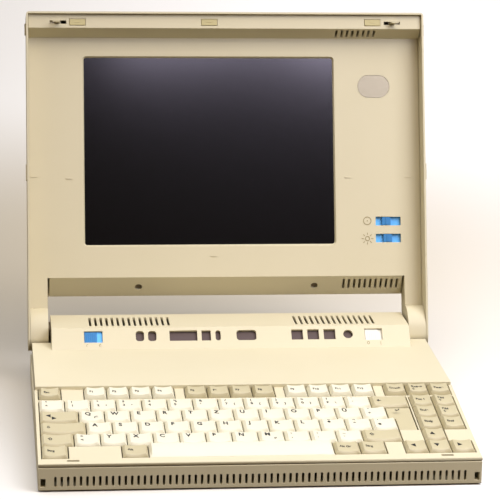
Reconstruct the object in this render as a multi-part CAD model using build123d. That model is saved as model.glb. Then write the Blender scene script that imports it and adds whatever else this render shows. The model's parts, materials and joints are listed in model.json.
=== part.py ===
from build123d import *
import os
from math import atan2, cos, degrees, radians, sin, sqrt, tan

os.makedirs("parts", exist_ok=True)

# Millimetres. While it is modelled, x is 0 in the middle, y is 0 at the case's front face and z is 0
# at the case's underside. Every piece is moved to the part's own origin when it is written.

# Base case
CASE_HALF = 158.9
CASE_REAR = 265.0
WALL = 2.0
FLOOR = 2.4
FOOT_HEIGHT = 1.2
SEAM_Z = 16.8
SEAM_GAP = 0.6
FRONT_EDGE_Z = 19.8

# Keyboard surround, tilted up to the rear
TILT = 6.5
DECK_FRONT = 122.4
DECK_Z = 36.6
DECK_HALF = CASE_HALF - 0.8
SURROUND_SLOPE = tan(radians(TILT))
SURROUND_REAR_Z = FRONT_EDGE_Z + DECK_FRONT * SURROUND_SLOPE

# Hump behind the deck
HUMP_HALF = 143.0
HUMP_FOOT_Y = 211.5
CREASE_Y, CREASE_Z = 226.45, 50.2
HUMP_REAR_Z = 49.4
LEDGE_REAR = 232.0
PANEL_ANGLE = degrees(atan2(CREASE_Z - DECK_Z, CREASE_Y - HUMP_FOOT_Y))

# Hinge and lid. The lid's own numbers are in its upright frame: height above the hinge axis, and
# depth in front of the axis (negative is behind it).
AXIS_Y, AXIS_Z = 253.0, 38.7
LEAN = 18.3
LID_HALF = 160.9
LID_WALL = 1.6
LID_BACK_WALL = 2.0
LID_TOP = 256.4
RIM = 18.0
STRIP = 15.0
STRIP_LOW = 243.4
BAND_LOW = 237.5
FACE = 1.4
FACE_LOW = 43.4
UNDERCUT = 14.2
LID_BACK = -15.3
ARM_INNER = 145.0
HOUSING_HALF = 143.4
BARREL_RADIUS = 19.4
BARREL_LOW = -14.5
BEZEL_SKIN = 2.0
LID_LOW = FACE_LOW - UNDERCUT

# Screen
SCREEN_LEFT, SCREEN_RIGHT = -114.6, 88.0
SCREEN_LOW, SCREEN_TOP = 69.8, 221.4
SCREEN_CORNER = 2.0
SCREEN_X = (SCREEN_LEFT + SCREEN_RIGHT) / 2
SCREEN_W = SCREEN_RIGHT - SCREEN_LEFT

# Hinge hardware
SHAFT_RADIUS = 4.0
RUNNING_GAP = 0.05
CLUTCH_RADIUS = 7.5
CLUTCH_LENGTH = 11.0
DISC_RADIUS = 8.4

# Keys, laid out on the tilted surround: u to the right and v to the rear from the well's front
# left corner
UNIT = 19.05
SMALL_UNIT = 17.0
WELL_LEFT = -CASE_HALF + 2.85
WELL_FRONT = 8.74
WELL_RIGHT_U = 312.0
NAV_LEFT_U = 278.0
ARROW_LEFT_U = 261.0
FUNCTION_V = 97.2
KEY_TRAVEL = 2.8
KEY_SHOULDER, KEY_FOOT = -0.4, -2.6
KEY_GAP = 1.1
KEY_SKIN = 1.2
KEY_HOLLOW_TOP = -0.6
STEM_SIDE = 4.0
STEM_END = -8.0
GUIDE_TOP, GUIDE_THICK = KEY_FOOT - KEY_TRAVEL - 0.2, 1.2
DOME_TOP = STEM_END - KEY_TRAVEL - 0.3
DOME_THICK = 0.8
PLATE_TOP = DOME_TOP - DOME_THICK - 0.1
PLATE_THICK = 1.0
# Height of each row above the surround: 0 is the function row, 5 the space bar's, then the two blocks
NAVIGATION_ROW, ARROW_ROW = 6, 7
KEY_HEIGHT = {0: 3.2, 1: 1.8, 2: 1.8, 3: 1.8, 4: 1.8, 5: 1.9, NAVIGATION_ROW: 2.6, ARROW_ROW: 2.2}


def block(x0, x1, y0, y1, z0, z1):
    """A box between two corners."""
    centre = Pos((x0 + x1) / 2, (y0 + y1) / 2, (z0 + z1) / 2)
    return centre * Box(abs(x1 - x0), abs(y1 - y0), abs(z1 - z0))


def bar(points, x0, x1):
    """A straight bar from x0 to x1 whose section is the polygon of (y, z) points."""
    wire = Polyline(*[(x0, y, z) for y, z in points], close=True)
    return extrude(make_face(wire), x1 - x0, dir=(1, 0, 0))


def rod(x0, x1, y, z, radius):
    """A cylinder along x."""
    return Pos((x0 + x1) / 2, y, z) * Rot(0, 90, 0) * Cylinder(radius, abs(x1 - x0))


def mirrored(shape):
    """The shape and its mirror image about the middle plane."""
    return [shape, mirror(shape, about=Plane.YZ)]


def on_surround(u, v, height=0.0):
    """A place on the tilted keyboard surround, its own z square to the surround."""
    along = WELL_FRONT + v
    y = along * cos(radians(TILT)) - height * sin(radians(TILT))
    z = FRONT_EDGE_Z + along * sin(radians(TILT)) + height * cos(radians(TILT))
    return Pos(WELL_LEFT + u, y, z) * Rot(TILT, 0, 0)


def on_panel(x, s, height=0.0):
    """A place on the hump's sloping panel, s mm up from its foot."""
    angle = radians(PANEL_ANGLE)
    y = HUMP_FOOT_Y + s * cos(angle) - height * sin(angle)
    z = DECK_Z + s * sin(angle) + height * cos(angle)
    return Pos(x, y, z) * Rot(PANEL_ANGLE, 0, 0)


def lid_at_rest(shape):
    """Leans an upright lid piece back to where the photograph shows it."""
    return Pos(0, AXIS_Y, AXIS_Z) * Rot(-LEAN, 0, 0) * shape


# Base shell

def base_form(inset):
    """The solid under the top cover's surfaces, drawn in by the inset."""
    low = SEAM_Z - 5
    front = [
        (inset, low),
        (inset, FRONT_EDGE_Z - inset),
        (DECK_FRONT + inset, SURROUND_REAR_Z - inset),
        (DECK_FRONT + inset, low),
    ]
    deck = [
        (DECK_FRONT + inset, low),
        (DECK_FRONT + inset, DECK_Z - inset),
        (LEDGE_REAR - inset, DECK_Z - inset),
        (LEDGE_REAR - inset, low),
    ]
    hump = [
        (HUMP_FOOT_Y + inset, low),
        (HUMP_FOOT_Y + inset * 0.4, DECK_Z - inset),
        (CREASE_Y + inset * 0.4, CREASE_Z - inset),
        (CASE_REAR - inset, HUMP_REAR_Z - inset),
        (CASE_REAR - inset, low),
    ]
    form = bar(front, inset - CASE_HALF, CASE_HALF - inset)
    form += bar(deck, inset - DECK_HALF, DECK_HALF - inset)
    form += bar(hump, inset - HUMP_HALF, HUMP_HALF - inset)
    return form


def well_cells():
    """The openings in the surround, as (u0, u1, v0, v1)."""
    cells = [
        (0, UNIT, 0, UNIT),
        (3 * UNIT, 13 * UNIT, 0, UNIT),
        (0, 13.75 * UNIT, UNIT, 2 * UNIT),
        (0, 14.5 * UNIT, 2 * UNIT, 5 * UNIT),
        (NAV_LEFT_U, WELL_RIGHT_U, 2 * UNIT, 5 * UNIT),
        (NAV_LEFT_U, NAV_LEFT_U + SMALL_UNIT, UNIT, 2 * UNIT),
        (ARROW_LEFT_U, WELL_RIGHT_U, 0, UNIT),
    ]
    for first, count in function_groups():
        cells.append((first, first + count * SMALL_UNIT, FUNCTION_V, FUNCTION_V + SMALL_UNIT))
    return cells


def function_groups():
    """Start and key count of each block in the function row."""
    gap = (WELL_RIGHT_U - 17 * SMALL_UNIT) / 3
    starts = [(0.0, 1)]
    place = 2 * SMALL_UNIT
    for count in (4, 4, 4, 3):
        starts.append((place, count))
        place += count * SMALL_UNIT + gap
    return starts


def wells():
    """Cutters for the key openings."""
    margin = 0.35
    cutters = []
    for u0, u1, v0, v1 in well_cells():
        place = on_surround((u0 + u1) / 2, (v0 + v1) / 2)
        cutters.append(place * Box(u1 - u0 + 2 * margin, v1 - v0 + 2 * margin, 12))
    return cutters


HUMP_VENTS = 15
HUMP_VENT_WIDTH = 1.8
HUMP_VENT_FRONT, HUMP_VENT_REAR = 231.5, 256.0
HUMP_VENT_SPANS = [(-111.9, -49.5), (53.0, 115.5)]


def hump_vents():
    """Cutters for the slots in the hump's top."""
    length = HUMP_VENT_REAR - HUMP_VENT_FRONT
    middle = (HUMP_VENT_REAR + HUMP_VENT_FRONT) / 2
    cutters = []
    for x0, x1 in HUMP_VENT_SPANS:
        for n in range(HUMP_VENTS):
            x = x0 + (x1 - x0) * n / (HUMP_VENTS - 1)
            cutters.append(Pos(x, middle, CREASE_Z) * Box(HUMP_VENT_WIDTH, length, 12))
    return cutters


# Panel windows: x from and to, and the corner radius
WINDOW_LOW, WINDOW_HIGH = 7.6, 16.9
INDICATOR_WINDOWS = [
    (-76.6, -70.0, 2.4),
    (-66.8, -60.2, 2.4),
    (-49.8, -27.7, 0.3),
    (-24.3, -16.9, 0.3),
    (-13.2, -9.1, 1.95),
    (3.6, 19.4, 2.4),
    (47.5, 56.8, 0.3),
    (60.4, 69.7, 0.3),
    (73.5, 82.9, 0.3),
]
ROUND_WINDOW_X, ROUND_WINDOW_R = 93.1, 3.9
STANDBY_X0, STANDBY_X1 = -117.4, -102.9
POWER_X0, POWER_X1 = 106.7, 120.7
SWITCH_LOW, SWITCH_HIGH = 6.9, 17.3


def panel_windows():
    """Cutters for the windows in the hump's sloping panel."""
    middle = (WINDOW_LOW + WINDOW_HIGH) / 2
    height = WINDOW_HIGH - WINDOW_LOW
    cutters = []
    for x0, x1, corner in INDICATOR_WINDOWS:
        face = RectangleRounded(x1 - x0, height, corner)
        cutters.append(on_panel((x0 + x1) / 2, middle, -4) * extrude(face, 8))
    cutters.append(on_panel(ROUND_WINDOW_X, middle, -4) * extrude(Circle(ROUND_WINDOW_R), 8))
    for x0, x1 in ((STANDBY_X0, STANDBY_X1), (POWER_X0, POWER_X1)):
        face = Rectangle(x1 - x0, SWITCH_HIGH - SWITCH_LOW)
        place = on_panel((x0 + x1) / 2, (SWITCH_LOW + SWITCH_HIGH) / 2, -4)
        cutters.append(place * extrude(face, 8))
    return cutters


LATCH_SLOT_X = 134.1
LATCH_SLOT_Y = 4.8
LATCH_SLOT_W, LATCH_SLOT_D = 8.8, 2.4
PORT_HALF = 104.0
PORT_LOW, PORT_HIGH = 20.0, 41.0
DOOR_PIN_Z = PORT_LOW + 1.6
DOOR_Y = CASE_REAR - 1.2
DOOR_PIN_RADIUS = 0.6
DOOR_PIN_REACH = 2.4
INLET_X, INLET_Z = 122.0, 30.0
INLET_RADIUS = 4.5


def top_cover():
    """Keyboard surround, deck and hump, as one thin shell."""
    shell = base_form(0) - base_form(WALL)
    shell -= block(-200, 200, -5, 300, 0, SEAM_Z + SEAM_GAP)
    cutters = wells() + hump_vents() + panel_windows()
    for x in (-LATCH_SLOT_X, LATCH_SLOT_X):
        cutters.append(Pos(x, LATCH_SLOT_Y, FRONT_EDGE_Z) * Box(LATCH_SLOT_W, LATCH_SLOT_D, 10))
    cutters.append(block(-PORT_HALF, PORT_HALF, CASE_REAR - 5, CASE_REAR + 5, PORT_LOW, PORT_HIGH))
    cutters.append(Pos(INLET_X, CASE_REAR, INLET_Z) * Rot(90, 0, 0) * Cylinder(INLET_RADIUS, 10))
    pin_hole = PORT_HALF + DOOR_PIN_REACH + 0.4
    cutters.append(rod(-pin_hole, pin_hole, DOOR_Y, DOOR_PIN_Z, DOOR_PIN_RADIUS + RUNNING_GAP))
    for side in (-1, 1):
        shaft_hole = rod(side * (HUMP_HALF - 6), side * (HUMP_HALF + 6), AXIS_Y, AXIS_Z, SHAFT_RADIUS + 0.3)
        cutters.append(shaft_hole)
    return shell - cutters


FRONT_VENTS = 66
FRONT_VENT_X = 146.7
FRONT_VENT_W, FRONT_VENT_LOW, FRONT_VENT_HIGH = 1.8, 2.6, 10.4
LOW_TONGUE_TOP = 15.0
RECESS_X, RECESS_W, RECESS_LOW, RECESS_HIGH, RECESS_DEEP = 155.4, 3.6, 2.4, 8.8, 3.0
FLOPPY_FRONT, FLOPPY_REAR = 126.6, 228.6
FLOPPY_LOW, FLOPPY_HIGH = 3.0, 16.0
BOTTOM_SCREWS = [(x, y) for x in (-148.0, 0.0, 148.0) for y in (18.0, 240.0)]
SCREW_HEAD_RADIUS, SCREW_RADIUS = 3.2, 1.5


def bottom_case():
    """Tray with the front vents, the drive bay opening and closed roofs under the lid's arms."""
    tray = block(-CASE_HALF, CASE_HALF, 0, CASE_REAR, 0, SEAM_Z)
    tray -= block(WALL - CASE_HALF, CASE_HALF - WALL, WALL, CASE_REAR - WALL, FLOOR, SEAM_Z + 1)
    tongue_out, tongue_in, tongue_top = WALL + 1.1, WALL + 2.1, 17.6
    ring_rear = LEDGE_REAR - WALL - 0.4
    ring = block(0.5 - CASE_HALF, CASE_HALF - 0.5, 0.5, ring_rear, 13, SEAM_Z)
    ring += block(tongue_out - CASE_HALF, CASE_HALF - tongue_out, tongue_out, ring_rear, 13, tongue_top)
    ring -= block(tongue_in - CASE_HALF, CASE_HALF - tongue_in, tongue_in, LEDGE_REAR + 5, 0, 20)
    ring -= block(CASE_HALF - 10, CASE_HALF + 5, FLOPPY_FRONT - 2, FLOPPY_REAR + 1, 0, 20)
    ring -= block(tongue_out - CASE_HALF, CASE_HALF - tongue_out, tongue_in, WELL_FRONT + 2 * UNIT,
                  LOW_TONGUE_TOP, 20)
    for side in (-1, 1):
        x = side * LATCH_SLOT_X
        ring -= block(x - LATCH_SLOT_W, x + LATCH_SLOT_W, WALL, WALL + 5, 0, 20)
    tray += ring
    roof_inner = HUMP_HALF - WALL - 0.4
    for side in (-1, 1):
        tray += block(side * roof_inner, side * (CASE_HALF - 1), ring_rear, CASE_REAR - 1,
                      SEAM_Z - 1.8, SEAM_Z)
    pitch = 2 * FRONT_VENT_X / (FRONT_VENTS - 1)
    slot = extrude(SlotOverall(FRONT_VENT_HIGH - FRONT_VENT_LOW, FRONT_VENT_W), WALL + 4)
    middle = (FRONT_VENT_LOW + FRONT_VENT_HIGH) / 2
    cutters = []
    for n in range(FRONT_VENTS):
        x = -FRONT_VENT_X + n * pitch
        cutters.append(Pos(x, WALL + 2, middle) * Rot(90, 0, 0) * Rot(0, 0, 90) * slot)
    for side in (-1, 1):
        x0, x1 = side * RECESS_X - RECESS_W / 2, side * RECESS_X + RECESS_W / 2
        cutters.append(block(x0, x1, -1, RECESS_DEEP, RECESS_LOW, RECESS_HIGH))
    cutters.append(block(CASE_HALF - 5, CASE_HALF + 5, FLOPPY_FRONT - 0.3, FLOPPY_REAR + 0.3,
                         FLOPPY_LOW - 0.3, FLOPPY_HIGH + 0.3))
    for x, y in BOTTOM_SCREWS:
        cutters.append(Pos(x, y, 0) * Cylinder(SCREW_HEAD_RADIUS + 0.2, 2.4))
        cutters.append(Pos(x, y, 0) * Cylinder(SCREW_RADIUS, 8))
    return tray - cutters


def case_screws():
    """Countersunk case screws in the underside."""
    head = Pos(0, 0, 0.7) * Cylinder(SCREW_HEAD_RADIUS, 1.0)
    head -= Pos(0, 0, 0.2) * Box(3.6, 0.8, 1.0)
    head -= Pos(0, 0, 0.2) * Box(0.8, 3.6, 1.0)
    screw = head + Pos(0, 0, 4.2) * Cylinder(SCREW_RADIUS, 6)
    return [Pos(x, y, 0) * screw for x, y in BOTTOM_SCREWS]


FEET = [(x, y) for x in (-138.0, 138.0) for y in (34.0, 222.0)]
FOOT_RADIUS = 7.0


def rubber_feet():
    """Low round feet."""
    foot = Pos(0, 0, -FOOT_HEIGHT / 2) * Cylinder(FOOT_RADIUS, FOOT_HEIGHT)
    foot = chamfer(foot.edges().group_by(Axis.Z)[0], 0.4)
    return [Pos(x, y, 0) * foot for x, y in FEET]


# Keyboard

def key_cell(u0, u1, v0, v1, row):
    """One key between two corners of the layout."""
    return {"u": (u0 + u1) / 2, "v": (v0 + v1) / 2, "w": u1 - u0, "d": v1 - v0, "row": row}


def unit_row(first, last, row):
    """A run of one-unit keys, first and last in key units from the left."""
    low = (5 - row) * UNIT
    count = round(last - first)
    return [key_cell((first + n) * UNIT, (first + n + 1) * UNIT, low, low + UNIT, row) for n in range(count)]


def wide_key(first, last, row):
    """One key between two places in key units."""
    low = (5 - row) * UNIT
    return [key_cell(first * UNIT, last * UNIT, low, low + UNIT, row)]


def small_row(first_u, count, row, low, depth):
    """A run of the narrower keys."""
    cells = []
    for n in range(count):
        u0 = first_u + n * SMALL_UNIT
        cells.append(key_cell(u0, u0 + SMALL_UNIT, low, low + depth, row))
    return cells


def function_row(blocks):
    """Function row keys of the chosen blocks."""
    groups = function_groups()
    cells = []
    for n in blocks:
        first, count = groups[n]
        cells += small_row(first, count, 0, FUNCTION_V, SMALL_UNIT)
    return cells


NAVIGATION_CELLS = []
for nav_row in (1, 2, 3):
    NAVIGATION_CELLS += small_row(NAV_LEFT_U, 2, NAVIGATION_ROW, (5 - nav_row) * UNIT, UNIT)
ARROW_CELLS = small_row(ARROW_LEFT_U, 3, ARROW_ROW, 0, UNIT)
ARROW_CELLS += small_row(NAV_LEFT_U, 1, ARROW_ROW, UNIT, UNIT)

KEY_NODES = {
    "digit_keys": unit_row(0, 13, 1),
    "upper_letter_keys": unit_row(1.5, 13.5, 2),
    "home_letter_keys": unit_row(1.75, 13.75, 3),
    "lower_letter_keys": unit_row(1.25, 12.25, 4),
    "space_bar": wide_key(4, 11, 5),
    "backspace_key": wide_key(13, 14.5, 1),
    "tab_key": wide_key(0, 1.5, 2),
    "caps_lock_key": wide_key(0, 1.75, 3),
    "left_shift_key": wide_key(0, 1.25, 4),
    "right_shift_key": wide_key(12.25, 13.75, 4),
    "left_control_key": wide_key(0, 1, 5),
    "left_alt_key": wide_key(3, 4, 5),
    "right_alt_key": wide_key(11, 12, 5),
    "right_control_key": wide_key(12, 13, 5),
    "escape_key": function_row([0]),
    "outer_function_keys": function_row([1, 3]),
    "middle_function_keys": function_row([2]),
    "system_keys": function_row([4]),
    "navigation_keys": NAVIGATION_CELLS,
    "arrow_keys": ARROW_CELLS,
}
ENTER_CELLS = [
    key_cell(13.5 * UNIT, 14.5 * UNIT, 3 * UNIT, 4 * UNIT, 2),
    key_cell(13.75 * UNIT, 14.5 * UNIT, 2 * UNIT, 4 * UNIT, 3),
]

TOP_FRONT_INSET, TOP_REAR_INSET, TOP_SIDE_INSET = 2.6, 1.5, 1.4
DISH_RADIUS, DISH_DEPTH, DISH_TILT = 24.0, 1.1, 3.0
SPACE_SLOPE = 14.0
SPACE_STEM_U = 2.4 * UNIT


def key_body(width, depth, height):
    """A cap: a straight skirt down in the well and a tapered top."""
    w, d = width - KEY_GAP, depth - KEY_GAP * 0.7
    shift = (TOP_FRONT_INSET - TOP_REAR_INSET) / 2
    top = RectangleRounded(w - 2 * TOP_SIDE_INSET, d - TOP_FRONT_INSET - TOP_REAR_INSET, 0.5)
    shoulder = RectangleRounded(w, d, 0.5)
    body = loft([Pos(0, 0, KEY_SHOULDER) * shoulder, Pos(0, shift, height) * top])
    return body + Pos(0, 0, KEY_FOOT) * extrude(shoulder, KEY_SHOULDER - KEY_FOOT)


def key_hollow(width, depth):
    """The space inside a cap."""
    w, d = width - KEY_GAP - 2 * KEY_SKIN, depth - KEY_GAP * 0.7 - 2 * KEY_SKIN
    return Pos(0, 0, KEY_FOOT - 1) * extrude(RectangleRounded(w, d, 0.5), KEY_HOLLOW_TOP - KEY_FOOT + 1)


def key_stem():
    """The square stem under a cap."""
    return Pos(0, 0, STEM_END / 2) * Box(STEM_SIDE, STEM_SIDE, -STEM_END)


def key_cap(width, depth, height):
    """One hollow key with its stem: a dished top, or on the space bar a front half that slopes down."""
    cap = key_body(width, depth, height)
    if width > 4 * UNIT:
        cap -= Pos(0, 0, height) * Rot(SPACE_SLOPE, 0, 0) * Pos(0, 0, 10) * Box(2 * width, 3 * depth, 20)
        places = [Pos(x, 0, 0) for x in (-SPACE_STEM_U, 0, SPACE_STEM_U)]
    else:
        above = height - DISH_DEPTH + DISH_RADIUS
        cap -= Pos(0, 0.8, above) * Rot(90 - DISH_TILT, 0, 0) * Cylinder(DISH_RADIUS, depth * 2)
        places = [Pos(0, 0, 0)]
    cap -= key_hollow(width, depth)
    return cap + [place * key_stem() for place in places]


def key_copies(cells):
    """Keys of a node: each size is modelled once and placed where it belongs."""
    made = {}
    keys = []
    for cell in cells:
        height = KEY_HEIGHT[cell["row"]]
        size = (round(cell["w"], 2), round(cell["d"], 2), height)
        if size not in made:
            made[size] = key_cap(*size)
        keys.append(on_surround(cell["u"], cell["v"]) * made[size])
    return keys


def enter_key():
    """The tall Enter key, wider in its upper row."""
    places = [on_surround(cell["u"], cell["v"]) for cell in ENTER_CELLS]
    sizes = [(cell["w"], cell["d"]) for cell in ENTER_CELLS]
    height = KEY_HEIGHT[3]
    key = places[0] * key_body(*sizes[0], height) + places[1] * key_body(*sizes[1], height)
    key -= [place * key_hollow(*size) for place, size in zip(places, sizes)]
    return key + places[1] * key_stem()


def all_cells():
    """Every cell that has a stem, with the space bar's three."""
    cells = [cell for group in KEY_NODES.values() for cell in group] + [ENTER_CELLS[1]]
    space = KEY_NODES["space_bar"][0]
    for side in (-1, 1):
        cells.append(dict(space, u=space["u"] + side * SPACE_STEM_U))
    return cells


KEYBOARD_U = (1.8, WELL_RIGHT_U - 1.7)
KEYBOARD_V = (-1.5, 115.5)


def keyboard_sheet(top, thick):
    """A flat piece under the keys, its top this far above the surround (negative is below)."""
    u0, u1 = KEYBOARD_U
    v0, v1 = KEYBOARD_V
    place = on_surround((u0 + u1) / 2, (v0 + v1) / 2, top - thick / 2)
    return place * Box(u1 - u0, v1 - v0, thick)


def key_guide_frame():
    """Moulded frame with a square hole for each stem."""
    frame = keyboard_sheet(GUIDE_TOP, GUIDE_THICK)
    hole = STEM_SIDE + 0.7
    cutters = []
    for cell in all_cells():
        cutters.append(on_surround(cell["u"], cell["v"], GUIDE_TOP) * Box(hole, hole, 6))
    return frame - cutters


def rubber_dome_sheet():
    """Sheet that carries the rubber domes, low enough to clear a pressed key."""
    return keyboard_sheet(DOME_TOP, DOME_THICK)


def keyboard_base_plate():
    """Steel plate that stiffens the keyboard."""
    return keyboard_sheet(PLATE_TOP, PLATE_THICK)


# Inside the base

BOARD_HALF, BOARD_FRONT, BOARD_REAR = 152.0, 24.0, 122.0
BOARD_LOW, BOARD_TOP = 4.4, 6.0
BOARD_HOLE_INSET, BOARD_HOLE_RADIUS = 6.0, 1.6


def main_board():
    """Main circuit board on the floor, under the keyboard."""
    board = block(-BOARD_HALF, BOARD_HALF, BOARD_FRONT, BOARD_REAR, BOARD_LOW, BOARD_TOP)
    columns = (BOARD_HOLE_INSET - BOARD_HALF, 0, BOARD_HALF - BOARD_HOLE_INSET)
    rows = (BOARD_FRONT + BOARD_HOLE_INSET, BOARD_REAR - BOARD_HOLE_INSET)
    return board - [Pos(x, y, BOARD_LOW) * Cylinder(BOARD_HOLE_RADIUS, 6) for x in columns for y in rows]


# Chips: count, first x, pitch, width, front, rear and height
PROCESSOR = (1, -20.0, 0.0, 32.0, 60.0, 92.0, 3.0)
MEMORY_CHIPS = (8, -138.0, 14.0, 9.0, 34.0, 52.0, 2.4)
CONTROLLER_CHIPS = (5, 34.0, 22.0, 15.0, 66.0, 81.0, 2.6)
COIN_CELL_X, COIN_CELL_Y, COIN_CELL_RADIUS, COIN_CELL_THICK = 60.0, 104.0, 10.0, 3.2


def board_chips():
    """Square processor and two rows of memory and controller chips."""
    chips = []
    for count, first, pitch, width, front, rear, height in (PROCESSOR, MEMORY_CHIPS, CONTROLLER_CHIPS):
        for n in range(count):
            x = first + n * pitch
            chips.append(block(x, x + width, front, rear, BOARD_TOP, BOARD_TOP + height))
    return chips


def clock_battery():
    """Coin cell in its place on the board."""
    middle = BOARD_TOP + 0.1 + COIN_CELL_THICK / 2
    return Pos(COIN_CELL_X, COIN_CELL_Y, middle) * Cylinder(COIN_CELL_RADIUS, COIN_CELL_THICK)


DISK_LEFT, DISK_RIGHT, DISK_LOW, DISK_HIGH = -84.0, -14.0, 3.0, 15.0
DRIVES_FRONT, DRIVES_REAR = 128.0, 228.0


def hard_disk_drive():
    """Two and a half inch drive: casting with its raised cover."""
    drive = block(DISK_LEFT, DISK_RIGHT, DRIVES_FRONT, DRIVES_REAR, DISK_LOW, DISK_HIGH)
    return drive + block(DISK_LEFT + 3, DISK_RIGHT - 3, DRIVES_FRONT + 3, DRIVES_REAR - 13,
                         DISK_HIGH, DISK_HIGH + 1.4)


SLOT_Z = 11.4
SLOT_HALF, SLOT_THICK = 46.0, 4.6
EJECT_Y = 214.6
EJECT_HALF, EJECT_LOW, EJECT_HIGH, EJECT_TRAVEL = 5.0, 4.6, 7.8, 3.0
FLOPPY_MID = (FLOPPY_FRONT + FLOPPY_REAR) / 2


# The diskette drive reaches in to here, and its slot to there
FLOPPY_LEFT, SLOT_END = 28.0, 64.0
THUMB_HALF, THUMB_LOW, THUMB_DEEP = 12.0, 7.6, 3.0
EJECT_FIT = 0.35
EJECT_LENGTH, EJECT_PROUD = 5.0, 0.2


def floppy_drive():
    """Slim diskette drive whose front fills the opening in the right wall."""
    outside = CASE_HALF + 1
    drive = block(FLOPPY_LEFT, CASE_HALF - 0.6, FLOPPY_FRONT, FLOPPY_REAR, FLOPPY_LOW, FLOPPY_HIGH)
    drive -= block(SLOT_END, outside, FLOPPY_MID - SLOT_HALF, FLOPPY_MID + SLOT_HALF,
                   SLOT_Z - SLOT_THICK / 2, SLOT_Z + SLOT_THICK / 2)
    drive -= block(CASE_HALF - THUMB_DEEP, outside, FLOPPY_MID - THUMB_HALF, FLOPPY_MID + THUMB_HALF,
                   THUMB_LOW, FLOPPY_HIGH + 1)
    recess = EJECT_LENGTH + EJECT_TRAVEL + 1
    half = EJECT_HALF + EJECT_FIT
    drive -= block(CASE_HALF - recess, outside, EJECT_Y - half, EJECT_Y + half,
                   EJECT_LOW - EJECT_FIT, EJECT_HIGH + EJECT_FIT)
    return drive


def floppy_eject_button():
    """Button under the diskette slot, pressed inwards."""
    button = block(CASE_HALF - EJECT_LENGTH, CASE_HALF + EJECT_PROUD,
                   EJECT_Y - EJECT_HALF, EJECT_Y + EJECT_HALF, EJECT_LOW, EJECT_HIGH)
    return chamfer(button.edges().group_by(Axis.X)[-1], 0.4)


PACK_LEFT, PACK_RIGHT, PACK_LOW, PACK_HIGH = -154.0, -94.0, 3.0, 32.0
PACK_GROOVES = (148.0, 168.0, 188.0, 208.0)


def battery_pack():
    """Rechargeable pack at the left rear, with the grooves between its cells."""
    pack = block(PACK_LEFT, PACK_RIGHT, DRIVES_FRONT, DRIVES_REAR, PACK_LOW, PACK_HIGH)
    return pack - [block(PACK_LEFT - 1, PACK_RIGHT + 1, y, y + 1.2, PACK_HIGH - 0.8, PACK_HIGH + 1)
                   for y in PACK_GROOVES]


STATUS_LEFT, STATUS_RIGHT, STATUS_DEPTH, STATUS_THICK = -82.0, 102.0, 14.0, 1.6


def status_display():
    """Liquid crystal strip under the indicator windows, parallel to the panel."""
    place = on_panel((STATUS_LEFT + STATUS_RIGHT) / 2, (WINDOW_LOW + WINDOW_HIGH) / 2, -WALL - 1.4)
    return place * Box(STATUS_RIGHT - STATUS_LEFT, STATUS_DEPTH, STATUS_THICK)


SPEAKER_X, SPEAKER_Y, SPEAKER_RADIUS = -80.0, 241.5, 12.0
CONE_Z, CONE_THICK = 43.0, 3.0
MAGNET_Z, MAGNET_RADIUS, MAGNET_THICK = 39.0, 7.0, 5.0


def speaker():
    """Small loudspeaker under the left vents: cone frame and magnet."""
    body = Pos(SPEAKER_X, SPEAKER_Y, CONE_Z) * Cylinder(SPEAKER_RADIUS, CONE_THICK)
    return body + Pos(SPEAKER_X, SPEAKER_Y, MAGNET_Z) * Cylinder(MAGNET_RADIUS, MAGNET_THICK)


JACK_HALF, JACK_FRONT, JACK_HOLE_RADIUS, JACK_PIN_RADIUS = 6.0, 250.0, 3.2, 0.9


def power_inlet():
    """Round jack for the mains adapter, with its centre pin."""
    body = block(INLET_X - JACK_HALF, INLET_X + JACK_HALF, JACK_FRONT, CASE_REAR - WALL - 0.1,
                 INLET_Z - JACK_HALF, INLET_Z + JACK_HALF)
    body -= Pos(INLET_X, CASE_REAR - 6, INLET_Z) * Rot(90, 0, 0) * Cylinder(JACK_HOLE_RADIUS, 12)
    return body + Pos(INLET_X, CASE_REAR - 8, INLET_Z) * Rot(90, 0, 0) * Cylinder(JACK_PIN_RADIUS, 9)


# D-shaped connectors: x of the middle and width; round ones: x of the middle
CONNECTORS = [(-78.0, 39.0), (-32.0, 53.0), (20.0, 31.0)]
ROUND_CONNECTORS = (56.0, 80.0)
SOCKET_OUTER, SOCKET_INNER = 6.6, 5.4
CONNECTOR_HALF_HEIGHT, CONNECTOR_TAPER, CONNECTOR_REACH = 4.4, 2.4, 5.0
STRIP_FRONT, STRIP_BACK = 254.0, 255.2
PORT_MID = (PORT_LOW + PORT_HIGH) / 2


def d_outline(width):
    """Rounded face of a D-shaped connector."""
    top, low = width / 2, width / 2 - CONNECTOR_TAPER
    rise = CONNECTOR_HALF_HEIGHT
    outline = Polyline((-top, rise), (top, rise), (low, -rise), (-low, -rise), close=True)
    return fillet(make_face(outline).vertices(), 1.8)


def rear_connectors():
    """D-shaped connectors and two round ones on one metal strip."""
    strip = block(-PORT_HALF - 3, PORT_HALF + 3, STRIP_FRONT, STRIP_BACK, PORT_LOW - 1, PORT_HIGH + 1)
    for x, width in CONNECTORS:
        shell = extrude(d_outline(width), CONNECTOR_REACH)
        strip += Pos(x, STRIP_FRONT + 0.6, PORT_MID) * Rot(-90, 0, 0) * shell
    for x in ROUND_CONNECTORS:
        socket = Cylinder(SOCKET_OUTER, CONNECTOR_REACH) - Cylinder(SOCKET_INNER, 9.0)
        strip += Pos(x, STRIP_FRONT + 3.4, PORT_MID) * Rot(90, 0, 0) * socket
    return strip


DOOR_HALF = PORT_HALF - 0.5
DOOR_FRONT, DOOR_BACK = DOOR_Y - 0.8, DOOR_Y + 1.0
DOOR_PULL_HALF, DOOR_PULL_HEIGHT = 9.0, 3.0


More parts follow.
